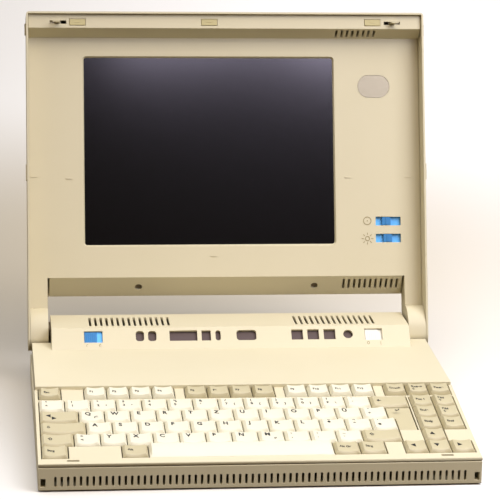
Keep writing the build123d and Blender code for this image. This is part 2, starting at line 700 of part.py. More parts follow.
def rear_port_door():
    """Flap over the connectors that folds down on two end pins."""
    top = PORT_HIGH - 0.5
    door = block(-DOOR_HALF, DOOR_HALF, DOOR_FRONT, DOOR_BACK, DOOR_PIN_Z, top)
    door += rod(-DOOR_HALF, DOOR_HALF, DOOR_Y, DOOR_PIN_Z, 1.1)
    door += rod(-PORT_HALF - DOOR_PIN_REACH, PORT_HALF + DOOR_PIN_REACH, DOOR_Y, DOOR_PIN_Z, DOOR_PIN_RADIUS)
    return door - block(-DOOR_PULL_HALF, DOOR_PULL_HALF, CASE_REAR - 0.9, CASE_REAR + 1,
                        top - DOOR_PULL_HEIGHT, top + 1)


BRACKET_X0, BRACKET_X1 = 136.0, 139.0
BRACKET_FOOT_X = 118.0
BRACKET_FRONT, BRACKET_REAR = 240.0, 262.0
BRACKET_LOW, BRACKET_HIGH, BRACKET_THICK = FLOOR + 0.1, 46.0, 2.0
SHAFT_END = 157.0


def hinge_brackets():
    """Steel brackets inside the hump's ends that hold the hinge shafts."""
    plate = block(BRACKET_X0, BRACKET_X1, BRACKET_FRONT, BRACKET_REAR, BRACKET_LOW, BRACKET_HIGH)
    plate += block(BRACKET_FOOT_X, BRACKET_X1, BRACKET_FRONT, BRACKET_REAR,
                   BRACKET_LOW, BRACKET_LOW + BRACKET_THICK)
    plate -= rod(BRACKET_X0 - 1, BRACKET_X1 + 1, AXIS_Y, AXIS_Z, SHAFT_RADIUS)
    plate -= [Pos(BRACKET_FOOT_X + 8, y, 4) * Cylinder(1.6, 8) for y in (BRACKET_FRONT + 5, BRACKET_REAR - 5)]
    return mirrored(plate)


def hinge_shafts():
    """Fixed shafts that reach from the brackets into the lid's barrels, with the discs in the gaps."""
    shaft = rod(BRACKET_X0 - 3, SHAFT_END, AXIS_Y, AXIS_Z, SHAFT_RADIUS)
    disc = rod(HUMP_HALF + 0.1, ARM_INNER - 0.4, AXIS_Y, AXIS_Z, DISC_RADIUS)
    return mirrored(shaft + disc)


# Slide switches in the hump

KNOB_CLEAR = 0.35
STANDBY_KNOB_W = 9.8
POWER_KNOB_W = 10.6
KNOB_TOP = -1.3
FLANGE_TOP, FLANGE_THICK, FLANGE_MARGIN = -2.3, 1.2, 1.2
GRIP_PITCH, GRIP_WIDTH = 1.6, 0.6
SWITCH_MID = (SWITCH_LOW + SWITCH_HIGH) / 2
CAN_DEPTH, CAN_HEIGHT, CAN_MID = 13.0, 4.4, -6.6


def panel_knob(x0, x1, width):
    """Slide switch knob at the left of its window, on a wider plate that closes the window behind it."""
    height = SWITCH_HIGH - SWITCH_LOW - 2 * KNOB_CLEAR
    middle = x0 + KNOB_CLEAR + width / 2
    deep = KNOB_TOP - FLANGE_TOP + 0.2
    knob = on_panel(middle, SWITCH_MID, KNOB_TOP - deep / 2) * Box(width, height, deep)
    groove = Box(GRIP_WIDTH, height - 2.4, 0.6)
    knob -= [on_panel(middle + n * GRIP_PITCH, SWITCH_MID, KNOB_TOP) * groove for n in (-2, -1, 0, 1, 2)]
    reach = 2 * (x1 - x0 - width) + width + 2 * FLANGE_MARGIN
    plate = Box(reach, height + 2 * FLANGE_MARGIN, FLANGE_THICK)
    return knob + on_panel(middle, SWITCH_MID, FLANGE_TOP - FLANGE_THICK / 2) * plate


def standby_switch():
    """Blue knob of the standby switch."""
    return panel_knob(STANDBY_X0, STANDBY_X1, STANDBY_KNOB_W)


def power_switch():
    """White knob of the power switch."""
    return panel_knob(POWER_X0, POWER_X1, POWER_KNOB_W)


def switch_bodies():
    """Slide switch cans behind the two knobs."""
    bodies = []
    for x0, x1 in ((STANDBY_X0, STANDBY_X1), (POWER_X0, POWER_X1)):
        bodies.append(on_panel((x0 + x1) / 2, SWITCH_MID, CAN_MID) * Box(x1 - x0 + 5, CAN_DEPTH, CAN_HEIGHT))
    return bodies


# Lid, upright: y is behind the hinge axis, z above it

ARM_CORNER_FRONT, ARM_CORNER_BACK = 10.0, 14.0
LID_EDGE = 4.0
LID_CORNER = 2.5


def arm_block(x0, x1, high):
    """An arm with its rounded barrel at the lower end."""
    arm = block(x0, x1, -RIM, -LID_BACK, BARREL_LOW, high)
    low_edges = arm.edges().filter_by(Axis.X).group_by(Axis.Z)[0].sort_by(Axis.Y)
    arm = fillet(low_edges[-1], ARM_CORNER_BACK)
    low_edges = arm.edges().filter_by(Axis.X).group_by(Axis.Z)[0].sort_by(Axis.Y)
    return fillet(low_edges[0], ARM_CORNER_FRONT)


def lid_form():
    """The lid's whole outside with its two arms."""
    main = block(-LID_HALF, LID_HALF, -RIM, -LID_BACK, LID_LOW, LID_TOP)
    corners = main.edges().filter_by(Axis.Y).group_by(Axis.Z)[-1]
    main = fillet(corners, LID_CORNER)
    back_face = main.faces().sort_by(Axis.Y)[-1]
    rim = [edge for edge in back_face.edges() if edge.center().Z > LID_LOW + 1]
    main = fillet(rim, LID_EDGE * 0.6)
    for side in (-1, 1):
        main += arm_block(side * ARM_INNER, side * LID_HALF, LID_LOW + 4)
    return main


TAB_LOW, TAB_HIGH, TAB_PROUD = 120.8, 133.6, 1.0
LATCH_PAD_LOW, LATCH_PAD_HIGH = 238.4, 247.2
LATCH_PAD_FRONT, LATCH_PAD_BACK = 12.5, 6.5
LATCH_FIT = 0.35
POST_PLACES, POST_HEIGHT, POST_RADIUS = (-150.0, -40.0, 40.0, 150.0), 232.0, 2.6


def lid_back_cover():
    """Rear shell of the lid with its side and top walls and the arms' outer cheeks."""
    cover = lid_form()
    inside = block(LID_WALL - LID_HALF, LID_HALF - LID_WALL, -RIM - 1, -LID_BACK - LID_BACK_WALL,
                   BARREL_LOW - 5, LID_TOP - LID_WALL)
    cover -= inside
    for side in (-1, 1):
        x = side * LID_HALF
        cover += block(x - side * 0.5, x + side * TAB_PROUD, -16.4, -11.0, TAB_LOW, TAB_HIGH)
        cover -= block(x - side * 4, x + side * 4, -LATCH_PAD_FRONT - LATCH_FIT, -LATCH_PAD_BACK + LATCH_FIT,
                       LATCH_PAD_LOW - LATCH_FIT, LATCH_PAD_HIGH + LATCH_FIT)
    return cover + [Pos(x, 10, POST_HEIGHT) * Rot(90, 0, 0) * Cylinder(POST_RADIUS, 7) for x in POST_PLACES]


STRIP_TOP = LID_TOP - LID_WALL - 0.2
BEZEL_HALF = LID_HALF - LID_WALL - 0.2
HOOK_SLOT_X0, HOOK_SLOT_X1 = 128.8, 142.1
HOOK_SLOT_LOW, HOOK_SLOT_HIGH = 246.8, 249.5
BADGE_X, BADGE_Z, BADGE_W, BADGE_H, BADGE_CORNER = 121.7, 198.2, 26.0, 18.2, 9.0
SLIDER_X0, SLIDER_X1 = 121.9, 142.6
CONTRAST_LOW, BRIGHTNESS_LOW, SLIDER_HEIGHT = 84.4, 70.6, 7.0
CONTRAST_KNOB_X, BRIGHTNESS_KNOB_X = 130.8, 131.8
SLIDER_KNOB_W = 7.0
BAND_VENTS, BAND_VENT_X0, BAND_VENT_X1 = 8, 90.6, 121.4
LOW_VENTS, LOW_VENT_X0, LOW_VENT_X1 = 11, 95.6, 139.4
LID_SCREW_X, LID_SCREW_ALONG = 71.6, 10.4
SCREW_RECESS = 2.6
BUMPERS = [(-119.9, 248.2), (-13.7, 248.4), (119.3, 248.6)]
BUMPER_W, BUMPER_H = 13.4, 5.6
BUMPER_RECESS, BUMPER_PROUD, BUMPER_FIT = 1.0, 0.3, 0.4
FACE_MARKS = [(-127.0, 123.5), (99.6, 123.8), (149.0, 123.9), (-10.7, 60.3), (-155.2, 125.0)]


def on_undercut(x, along, height=0.0):
    """A place on the bezel's lower sloping face, so far down it from the recessed face."""
    step = along / sqrt(2)
    rise = height / sqrt(2)
    return Pos(x, -FACE + step - rise, FACE_LOW - step - rise) * Rot(135, 0, 0)


def bezel_section():
    """The bezel's wall in side view: top strip, sloping band, recessed face and undercut."""
    front = [
        (-STRIP, STRIP_TOP),
        (-STRIP, STRIP_LOW),
        (-FACE, BAND_LOW),
        (-FACE, FACE_LOW),
        (UNDERCUT - FACE, LID_LOW),
    ]
    back = [
        (UNDERCUT - FACE, LID_LOW + 2.8),
        (BEZEL_SKIN - FACE, FACE_LOW + 0.8),
        (BEZEL_SKIN - FACE, BAND_LOW + 1.3),
        (BEZEL_SKIN - STRIP, STRIP_LOW + 1.5),
        (BEZEL_SKIN - STRIP, STRIP_TOP),
    ]
    return front + back


def bezel_arm(side):
    """Front and barrel of one arm, bored for the hinge clutch."""
    x0, x1 = side * ARM_INNER, side * BEZEL_HALF
    arm = arm_block(x0, x1, FACE_LOW + 1)
    arm &= block(x0, x1, -RIM - 1, -LID_BACK - LID_BACK_WALL - 0.3, BARREL_LOW - 1, FACE_LOW + 1)
    front = block(x0 - side, x1 + side, -RIM - 1, -FACE, 0, FACE_LOW + 5)
    arm -= front - rod(x0 - 2 * side, x1 + 2 * side, BARREL_RADIUS - RIM, 0, BARREL_RADIUS)
    arm -= rod(side * (ARM_INNER + 1.2), side * (BEZEL_HALF + 1), 0, 0, CLUTCH_RADIUS + 0.05)
    arm -= rod(side * (ARM_INNER - 1), side * (BEZEL_HALF + 1), 0, 0, SHAFT_RADIUS + 0.3)
    arm -= block(side * (ARM_INNER + 2), side * (BEZEL_HALF - 2), 1.0, 10.5, 12.0, FACE_LOW + 2)
    return arm


def bezel_cutters():
    """Screen opening, slots, windows, vents and marks."""
    cutters = []
    wide = Pos(SCREEN_X, -FACE - 0.01, (SCREEN_LOW + SCREEN_TOP) / 2) * Rot(90, 0, 0)
    height = SCREEN_TOP - SCREEN_LOW
    outer = wide * RectangleRounded(SCREEN_W + 2.4, height + 2.4, SCREEN_CORNER + 1.2)
    inner = Pos(0, BEZEL_SKIN + 0.1, 0) * wide * RectangleRounded(SCREEN_W, height, SCREEN_CORNER)
    cutters.append(loft([outer, inner]))
    for side in (-1, 1):
        cutters.append(block(side * HOOK_SLOT_X0, side * HOOK_SLOT_X1, -STRIP - 2, -STRIP + 4,
                             HOOK_SLOT_LOW, HOOK_SLOT_HIGH))
        cutters.append(on_undercut(side * LID_SCREW_X, LID_SCREW_ALONG) * Cylinder(1.4, 16))
        cutters.append(on_undercut(side * LID_SCREW_X, LID_SCREW_ALONG) * Cylinder(3.0, 2 * SCREW_RECESS))
    badge = RectangleRounded(BADGE_W + 0.4, BADGE_H + 0.4, BADGE_CORNER)
    cutters.append(Pos(BADGE_X, -FACE + 0.6, BADGE_Z) * Rot(90, 0, 0) * extrude(badge, 2))
    for low in (CONTRAST_LOW, BRIGHTNESS_LOW):
        cutters.append(block(SLIDER_X0, SLIDER_X1, -FACE - 2, -FACE + 4, low, low + SLIDER_HEIGHT))
    for n in range(BAND_VENTS):
        x = BAND_VENT_X0 + (BAND_VENT_X1 - BAND_VENT_X0) * n / (BAND_VENTS - 1)
        cutters.append(block(x - 0.9, x + 0.9, -12.6, -3.6, 236.0, 246.0))
    for n in range(LOW_VENTS):
        x = LOW_VENT_X0 + (LOW_VENT_X1 - LOW_VENT_X0) * n / (LOW_VENTS - 1)
        cutters.append(on_undercut(x, 8.6) * Box(1.8, 10.4, 9))
    for x, z in BUMPERS:
        cutters.append(block(x - BUMPER_W / 2, x + BUMPER_W / 2, -STRIP - 1, -STRIP + BUMPER_RECESS,
                             z - BUMPER_H / 2, z + BUMPER_H / 2))
    return cutters


def bezel_additions():
    """Raised marks on the face, and the bosses behind the two screws."""
    marks = [block(x - 2.7, x + 2.7, -FACE - 0.45, -FACE + 0.4, z - 0.4, z + 0.4) for x, z in FACE_MARKS]
    bosses = [on_undercut(x, LID_SCREW_ALONG, -SCREW_RECESS - 1) * Cylinder(4.6, 2 * SCREW_RECESS)
              for x in (-LID_SCREW_X, LID_SCREW_X)]
    return marks + bosses


def lid_bezel():
    """Front moulding of the lid with the arms' faces and barrels."""
    bezel = bar(bezel_section(), -BEZEL_HALF, BEZEL_HALF)
    for side in (-1, 1):
        bezel -= block(side * HOUSING_HALF, side * 170, -30, 30, 0, FACE_LOW)
        cap = [(-FACE, FACE_LOW), (UNDERCUT - FACE, LID_LOW), (UNDERCUT - FACE, FACE_LOW + 1.5),
               (-FACE, FACE_LOW + 1.5)]
        cap_bar = bar(cap, HOUSING_HALF - 2, HOUSING_HALF)
        bezel += cap_bar if side > 0 else mirror(cap_bar, about=Plane.YZ)
        bezel += bezel_arm(side)
    return bezel + bezel_additions() - bezel_cutters()


# Depths behind the hinge axis of the display's layers, front and back
GLASS_DEPTHS = (0.8, 2.4)
GUIDE_DEPTHS = (3.4, 6.4)
TRAY_DEPTHS = (2.5, 8.2)
TRAY_MARGIN, TRAY_SHEET = 8.0, 0.7
TUBE_DEPTH, TUBE_RADIUS = 5.4, 1.6


def display_panel():
    """Front glass of the display, with the light guide behind it."""
    glass = block(SCREEN_LEFT - 5, SCREEN_RIGHT + 5, *GLASS_DEPTHS, SCREEN_LOW - 5, SCREEN_TOP + 5)
    guide = block(SCREEN_LEFT - 4, SCREEN_RIGHT + 4, *GUIDE_DEPTHS, SCREEN_LOW, SCREEN_TOP + 4)
    return [glass, guide]


def display_frame():
    """Pressed metal tray behind the glass, open to the front."""
    x0, x1 = SCREEN_LEFT - TRAY_MARGIN, SCREEN_RIGHT + TRAY_MARGIN
    low, high = SCREEN_LOW - TRAY_MARGIN - 2, SCREEN_TOP + TRAY_MARGIN
    front, back = TRAY_DEPTHS
    frame = block(x0, x1, front, back, low, high)
    return frame - block(x0 + TRAY_SHEET, x1 - TRAY_SHEET, front - 0.5, back - TRAY_SHEET,
                         low + TRAY_SHEET, high - TRAY_SHEET)


def backlight_tube():
    """Thin fluorescent tube along the display's lower edge."""
    return rod(SCREEN_LEFT - 4, SCREEN_RIGHT + 4, TUBE_DEPTH, SCREEN_LOW - 5, TUBE_RADIUS)


# Backlight supply: x from and to, depth from and to, height from and to
SUPPLY_BOARD = (100.0, 152.0, 8.0, 9.4, 100.0, 180.0)
TRANSFORMER = (108.0, 126.0, 2.6, 8.0, 150.0, 172.0)
SUPPLY_CAPACITORS = (132.0, 144.0, 3.6, 8.0, 110.0, 140.0)


def inverter_board():
    """Backlight supply board beside the display, with its transformer."""
    return block(*SUPPLY_BOARD) + block(*TRANSFORMER) + block(*SUPPLY_CAPACITORS)


def lid_screws():
    """Two screws sunk into the lower sloping face."""
    head = Cylinder(2.7, 1.0) - Pos(0, 0, 0.5) * Box(3.4, 0.7, 0.9)
    head -= Pos(0, 0, 0.5) * Box(0.7, 3.4, 0.9)
    screw = head + Pos(0, 0, -3.4) * Cylinder(1.3, 6)
    return [on_undercut(x, LID_SCREW_ALONG, 0.55 - SCREW_RECESS) * screw for x in (-LID_SCREW_X, LID_SCREW_X)]


def lid_bumpers():
    """Soft plugs let into the top strip, each with a fine gap round it."""
    pads = []
    for x, z in BUMPERS:
        half_w, half_h = BUMPER_W / 2 - BUMPER_FIT, BUMPER_H / 2 - BUMPER_FIT
        pad = block(x - half_w, x + half_w, -STRIP - BUMPER_PROUD, -STRIP + BUMPER_RECESS,
                    z - half_h, z + half_h)
        pads.append(chamfer(pad.faces().sort_by(Axis.Y)[0].edges(), 0.3))
    return pads


HOOK_X0, HOOK_X1, HOOK_TIP_X = 134.0, 137.6, 139.9
HOOK_LOW, HOOK_HIGH = 247.4, 248.8
HOOK_NECK, HOOK_END = 20.8, 22.5
PAD_OUT = 1.2


BAR_FRONT, BAR_BACK = 12.3, 10.8
BAR_LOW, BAR_HIGH, BAR_HEAD_HIGH = 245.8, 246.9, 249.8


def latch(side):
    """Latch slide: pad on the side wall, bar behind the strip, hook through the strip."""
    pad_inner = LID_HALF + 0.1
    boxes = [
        (pad_inner, LID_HALF + PAD_OUT, -LATCH_PAD_FRONT, -LATCH_PAD_BACK, LATCH_PAD_LOW, LATCH_PAD_HIGH),
        (HOOK_X0 - 1, pad_inner, -BAR_FRONT, -BAR_BACK, BAR_LOW, BAR_HIGH),
        (HOOK_X0 - 1, HOOK_X1 + 6, -BAR_FRONT, -BAR_BACK, BAR_LOW, BAR_HEAD_HIGH),
        (HOOK_X0, HOOK_X1, -HOOK_NECK, -BAR_BACK, HOOK_LOW, HOOK_HIGH),
        (HOOK_X0, HOOK_TIP_X, -HOOK_END, -HOOK_NECK, HOOK_LOW, HOOK_HIGH),
    ]
    slide = None
    for x0, x1, *rest in boxes:
        piece = block(side * x0, side * x1, *rest)
        slide = piece if slide is None else slide + piece
    return slide


def slider_knob(x, low):
    """Slider knob with a raised grip rib, held behind the face by its flange."""
    half = SLIDER_KNOB_W / 2
    high = low + SLIDER_HEIGHT
    knob = block(x - half, x + half, -FACE + 0.3, 1.0, low + 0.3, high - 0.3)
    knob += block(x - 0.7, x + 0.7, -FACE - 0.1, -FACE + 0.4, low + 0.9, high - 0.9)
    return knob


def slider_tracks():
    """Coloured backing strips of the two sliders."""
    return [block(SLIDER_X0 - 1.5, SLIDER_X1 + 1.5, 1.3, 2.1, low - 1.2, low + SLIDER_HEIGHT + 1.2)
            for low in (CONTRAST_LOW, BRIGHTNESS_LOW)]


def badge_plate():
    """Bare oblong plate in its shallow recess."""
    plate = Pos(BADGE_X, -FACE + 0.55, BADGE_Z) * Rot(90, 0, 0)
    return plate * extrude(RectangleRounded(BADGE_W, BADGE_H, BADGE_CORNER), 0.75)


def hinge_clutches():
    """Friction clutches that grip the shafts inside the barrels."""
    x0 = ARM_INNER + 1.3
    clutch = rod(x0, x0 + CLUTCH_LENGTH, 0, 0, CLUTCH_RADIUS)
    clutch -= rod(x0 - 1, x0 + CLUTCH_LENGTH + 1, 0, 0, SHAFT_RADIUS + RUNNING_GAP)
    return mirrored(clutch)


BASE_NODES = {
    "bottom_case": bottom_case,
    "top_cover": top_cover,
    "case_screws": case_screws,
    "rubber_feet": rubber_feet,
    "key_guide_frame": key_guide_frame,
    "rubber_dome_sheet": rubber_dome_sheet,
    "keyboard_base_plate": keyboard_base_plate,
    "main_board": main_board,
    "board_chips": board_chips,
    "clock_battery": clock_battery,
    "hard_disk_drive": hard_disk_drive,
    "floppy_drive": floppy_drive,
    "floppy_eject_button": floppy_eject_button,
    "battery_pack": battery_pack,
    "status_display": status_display,
    "speaker": speaker,
    "power_inlet": power_inlet,
    "rear_connectors": rear_connectors,
    "rear_port_door": rear_port_door,
    "hinge_brackets": hinge_brackets,
    "hinge_shafts": hinge_shafts,
    "standby_switch": standby_switch,
    "power_switch": power_switch,
    "switch_bodies": switch_bodies,
    "enter_key": enter_key,
}

LID_NODES = {
    "lid_back_cover": lid_back_cover,
    "lid_bezel": lid_bezel,
    "display_panel": display_panel,
    "display_frame": display_frame,
    "backlight_tube": backlight_tube,
    "inverter_board": inverter_board,
    "lid_screws": lid_screws,
    "lid_bumpers": lid_bumpers,
    "left_latch": lambda: latch(-1),
    "right_latch": lambda: latch(1),
    "contrast_slider": lambda: slider_knob(CONTRAST_KNOB_X, CONTRAST_LOW),
    "brightness_slider": lambda: slider_knob(BRIGHTNESS_KNOB_X, BRIGHTNESS_LOW),
    "slider_tracks": slider_tracks,
    "badge_plate": badge_plate,
    "hinge_clutches": hinge_clutches,
}


def solids_of(shape):
    """The separate solids of a piece or a list of pieces."""
    pieces = shape if isinstance(shape, (list, tuple)) else [shape]
    return [solid for piece in pieces for solid in piece.solids()]


def model():
    """Every node's solids, still in the modelling frame."""
    nodes = {name: solids_of(make()) for name, make in BASE_NODES.items()}
    nodes.update({name: solids_of(key_copies(cells)) for name, cells in KEY_NODES.items()})
    for name, make in LID_NODES.items():
        nodes[name] = [lid_at_rest(solid) for solid in solids_of(make())]
    return nodes


def own_origin(nodes):
    """Shift that puts the origin under the middle of the whole object, on the surface it stands on."""
    box = Compound([solid for solids in nodes.values() for solid in solids]).bounding_box()
    return Vector(-(box.min.X + box.max.X) / 2, -(box.min.Y + box.max.Y) / 2, -box.min.Z)


if __name__ == "__main__":
    built = model()
    shift = own_origin(built)
    print("origin shift", shift)
    for name, solids in built.items():
        export_step(Compound([Pos(*shift) * solid for solid in solids]), f"parts/{name}.step")
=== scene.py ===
import json
from math import atan2, pi, radians

import bmesh
import bpy
from mathutils import Matrix, Vector


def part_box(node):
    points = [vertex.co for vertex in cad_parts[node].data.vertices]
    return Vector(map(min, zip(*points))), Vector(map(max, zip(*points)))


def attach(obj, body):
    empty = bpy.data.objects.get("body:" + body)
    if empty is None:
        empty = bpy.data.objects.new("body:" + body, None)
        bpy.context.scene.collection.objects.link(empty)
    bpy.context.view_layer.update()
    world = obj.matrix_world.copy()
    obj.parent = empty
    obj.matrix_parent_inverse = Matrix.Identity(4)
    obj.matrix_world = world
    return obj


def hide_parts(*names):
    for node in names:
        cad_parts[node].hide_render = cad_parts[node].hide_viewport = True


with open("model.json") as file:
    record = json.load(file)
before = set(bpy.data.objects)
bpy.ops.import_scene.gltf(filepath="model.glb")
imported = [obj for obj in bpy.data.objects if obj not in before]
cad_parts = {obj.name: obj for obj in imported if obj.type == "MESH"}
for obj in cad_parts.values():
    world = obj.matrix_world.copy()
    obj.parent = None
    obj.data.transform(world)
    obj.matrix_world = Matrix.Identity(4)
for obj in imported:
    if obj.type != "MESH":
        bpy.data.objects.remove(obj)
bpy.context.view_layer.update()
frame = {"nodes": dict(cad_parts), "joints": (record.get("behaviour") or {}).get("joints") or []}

# The work is done in millimetres in three places of the machine: the case (origin at the front
# face's middle, on the underside), the keyboard surround (u right, v back from the well's corner,
# height square to it) and the upright lid (origin on the hinge axis, y behind it). These turn each
# into the frame's metres.

MM = 0.001
CASE_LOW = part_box("bottom_case")[0]
CASE = Matrix.Translation((0, CASE_LOW.y, CASE_LOW.z)) @ Matrix.Scale(MM, 4)
HINGE = Vector(next(joint for joint in frame["joints"] if joint["name"] == "lid_hinge")["pos_m"])
LEAN = radians(18.3)
LID = Matrix.Translation(HINGE) @ Matrix.Rotation(-LEAN, 4, "X") @ Matrix.Scale(MM, 4)

FRONT_EDGE_Z, TILT = 19.8, radians(6.5)
WELL_LEFT, WELL_FRONT = -156.05, 8.74
DECK_Z = 36.6
HUMP_FOOT_Y, CREASE_Y, CREASE_Z = 211.5, 226.45, 50.2
PANEL_TURN = atan2(CREASE_Z - DECK_Z, CREASE_Y - HUMP_FOOT_Y)
LID_FACE = -1.4


def on_surround(u, v, height=0.0):
    """A place on the tilted keyboard surround."""
    corner = Matrix.Translation((WELL_LEFT, 0, FRONT_EDGE_Z)) @ Matrix.Rotation(TILT, 4, "X")
    return CASE @ corner @ Matrix.Translation((u, WELL_FRONT + v, height))


def on_panel(x, up, height=0.0):
    """A place on the hump's sloping panel, so far up from its foot."""
    foot = Matrix.Translation((0, HUMP_FOOT_Y, DECK_Z)) @ Matrix.Rotation(PANEL_TURN, 4, "X")
    return CASE @ foot @ Matrix.Translation((x, up, height))


def on_lid_face(x, up, proud=0.0):
    """A place on the lid's recessed face, its own z towards the user."""
    return LID @ Matrix.Translation((x, LID_FACE - proud, up)) @ Matrix.Rotation(radians(90), 4, "X")


# Materials

def linear(hex_colour):
    """An sRGB hex colour as the linear colour that a shader takes."""
    parts = [int(hex_colour[n:n + 2], 16) / 255 for n in (1, 3, 5)]
    return [p / 12.92 if p <= 0.04045 else ((p + 0.055) / 1.055) ** 2.4 for p in parts] + [1.0]


def add(tree, kind, inputs=None, **settings):
    """A node with its settings; each input is a value or another node's output."""
    node = tree.nodes.new(kind)
    for key, value in settings.items():
        setattr(node, key, value)
    for key, value in (inputs or {}).items():
        if isinstance(value, bpy.types.NodeSocket):
            tree.links.new(value, node.inputs[key])
        else:
            node.inputs[key].default_value = value
    return node


def new_material(name):
    """An empty material, its node tree, its shader and its object coordinates."""
    made = bpy.data.materials.new(name)
    made.use_nodes = True
    tree = made.node_tree
    shader = tree.nodes["Principled BSDF"]
    place = add(tree, "ShaderNodeTexCoord").outputs["Object"]
    return made, tree, shader, place


def moulded_plastic(name, colour, shade, roughness, grain=0.9, relief=0.03, mottle=45.0):
    """Moulded plastic: the tool's fine spark-eroded grain as relief and gloss, and a faint cloudiness
    where age has yellowed it unevenly. Grain, relief and mottle are in millimetres."""
    made, tree, shader, place = new_material(name)
    cloud = add(tree, "ShaderNodeTexNoise", {"Vector": place, "Scale": 1 / (mottle * MM), "Detail": 3.0})
    tint = add(tree, "ShaderNodeMix", {0: cloud.outputs["Fac"], 6: linear(colour), 7: linear(shade)},
               data_type="RGBA")
    tree.links.new(tint.outputs[2], shader.inputs["Base Color"])
    fine = add(tree, "ShaderNodeTexNoise", {"Vector": place, "Scale": 1 / (grain * MM), "Detail": 2.0})
    gloss = add(tree, "ShaderNodeMapRange", {
        "Value": fine.outputs["Fac"], "To Min": roughness - 0.06, "To Max": roughness + 0.06})
    tree.links.new(gloss.outputs["Result"], shader.inputs["Roughness"])
    bump = add(tree, "ShaderNodeBump", {
        "Height": fine.outputs["Fac"], "Distance": relief * MM, "Strength": 0.6})
    tree.links.new(bump.outputs["Normal"], shader.inputs["Normal"])
    shader.inputs["IOR"].default_value = 1.53
    return made


def plain_finish(name, colour, roughness, metallic=0.0, ior=1.5, grain=0.6):
    """A small part's finish: one colour, with the roughness broken up by a fine grain in millimetres."""
    made, tree, shader, place = new_material(name)
    shader.inputs["Base Color"].default_value = linear(colour)
    shader.inputs["Metallic"].default_value = metallic
    if not metallic:
        shader.inputs["IOR"].default_value = ior
    fine = add(tree, "ShaderNodeTexNoise", {"Vector": place, "Scale": 1 / (grain * MM), "Detail": 3.0})
    gloss = add(tree, "ShaderNodeMapRange", {
        "Value": fine.outputs["Fac"], "To Min": max(roughness - 0.08, 0.02), "To Max": roughness + 0.08})
    tree.links.new(gloss.outputs["Result"], shader.inputs["Roughness"])
    return made


def brushed_metal(name, colour, roughness, turn=(0, 0, 0), stroke=(0.15, 12.0)):
    """Brushed metal: long thin streaks in gloss and relief. Stroke is a streak's width and length,
    in millimetres."""
    made, tree, shader, place = new_material(name)
    shader.inputs["Base Color"].default_value = linear(colour)
    shader.inputs["Metallic"].default_value = 1.0
    width, length = stroke
    scale = (1 / (length * MM), 1 / (width * MM), 1 / (width * MM))
    turned = add(tree, "ShaderNodeMapping", {"Vector": place, "Rotation": turn, "Scale": scale})
    streaks = add(tree, "ShaderNodeTexNoise", {
        "Vector": turned.outputs["Vector"], "Scale": 1.0, "Detail": 2.0})
    gloss = add(tree, "ShaderNodeMapRange", {
        "Value": streaks.outputs["Fac"], "To Min": roughness - 0.1, "To Max": roughness + 0.1})
    tree.links.new(gloss.outputs["Result"], shader.inputs["Roughness"])
    bump = add(tree, "ShaderNodeBump", {
        "Height": streaks.outputs["Fac"], "Distance": 0.01 * MM, "Strength": 0.4})
    tree.links.new(bump.outputs["Normal"], shader.inputs["Normal"])
    return made


def circuit_board_finish():
    """Green solder mask over copper tracks, which run 1.3 mm apart."""
    made, tree, shader, place = new_material("solder_masked_circuit_board")
    tracks = add(tree, "ShaderNodeTexBrick", {
        "Vector": place, "Scale": 1.0, "Color1": linear("#1d5a33"), "Color2": linear("#174a2a"),
        "Mortar": linear("#2f7a48"), "Mortar Size": 0.2 * MM,
        "Brick Width": 9 * MM, "Row Height": 1.3 * MM})
    tree.links.new(tracks.outputs["Color"], shader.inputs["Base Color"])
    shader.inputs["Roughness"].default_value = 0.35
    return made


# Case plastic: textured ABS in warm cream, eggshell gloss
CASE_ABS = moulded_plastic("textured_cream_abs", "#cdc3a4", "#c9bf9e", 0.6)
# Key plastic: dye-sublimated PBT, a little smoother and whiter than the case
KEY_LIGHT = moulded_plastic("satin_pbt_cream", "#dad4bc", "#d6d0b6", 0.5, grain=0.7, relief=0.02)
KEY_TAN = moulded_plastic("satin_pbt_tan", "#bbb08d", "#b6ab86", 0.5, grain=0.7, relief=0.02)
# Legends are dye in the plastic: flat dark brown without gloss of its own
KEY_INK = plain_finish("sublimated_legend_dye", "#0f0c0a", 0.7)
# Darker tan: real print for the switch marks, painted shade on the embossed slider icons
ICON_PRINT_AND_PAINTED_SHADE = plain_finish("icon_print_and_painted_shade", "#95875f", 0.6)
BLUE_ABS = moulded_plastic("blue_slide_abs", "#0f76b4", "#0e71ae", 0.6, grain=0.6, relief=0.02)
PALE_BLUE_ABS = moulded_plastic("pale_blue_track_abs", "#5cb8ff", "#58b4ff", 0.6, grain=0.6, relief=0.02)
WHITE_ABS = moulded_plastic("white_slide_abs", "#dedbd0", "#dad7ca", 0.6, grain=0.6, relief=0.02)
BUMPER_PAD = moulded_plastic("yellowed_soft_vinyl", "#c0b482", "#b9ac78", 0.6, relief=0.02)
RUBBER = moulded_plastic("moulded_black_rubber", "#1d1d1c", "#252423", 0.75, relief=0.05)
STATUS_FILM = plain_finish("mauve_display_film", "#5c4f4d", 0.75, ior=1.25)
BLACK_PLASTIC = moulded_plastic("black_moulded_nylon", "#1b1a19", "#222120", 0.5)
ZINC_STEEL = brushed_metal("zinc_plated_steel", "#b9b8b2", 0.35)
BRONZED_STEEL = plain_finish("bronzed_screw_steel", "#6f6453", 0.5, metallic=1.0)
ALUMINIUM = brushed_metal("pressed_aluminium", "#c9cacc", 0.4)
BADGE_METAL = brushed_metal("brushed_bare_badge", "#7c7763", 0.42, (0, radians(30), 0), (0.25, 8.0))
BOARD = circuit_board_finish()
BATTERY_WRAP = moulded_plastic("charcoal_battery_case", "#2b2c30", "#313236", 0.5)
TUBE_GLASS = plain_finish("milky_tube_glass", "#f1f2ee", 0.15)
SCREEN_GLASS = plain_finish("antiglare_display_glass", "#040405", 0.12, grain=0.5)


# Making pieces

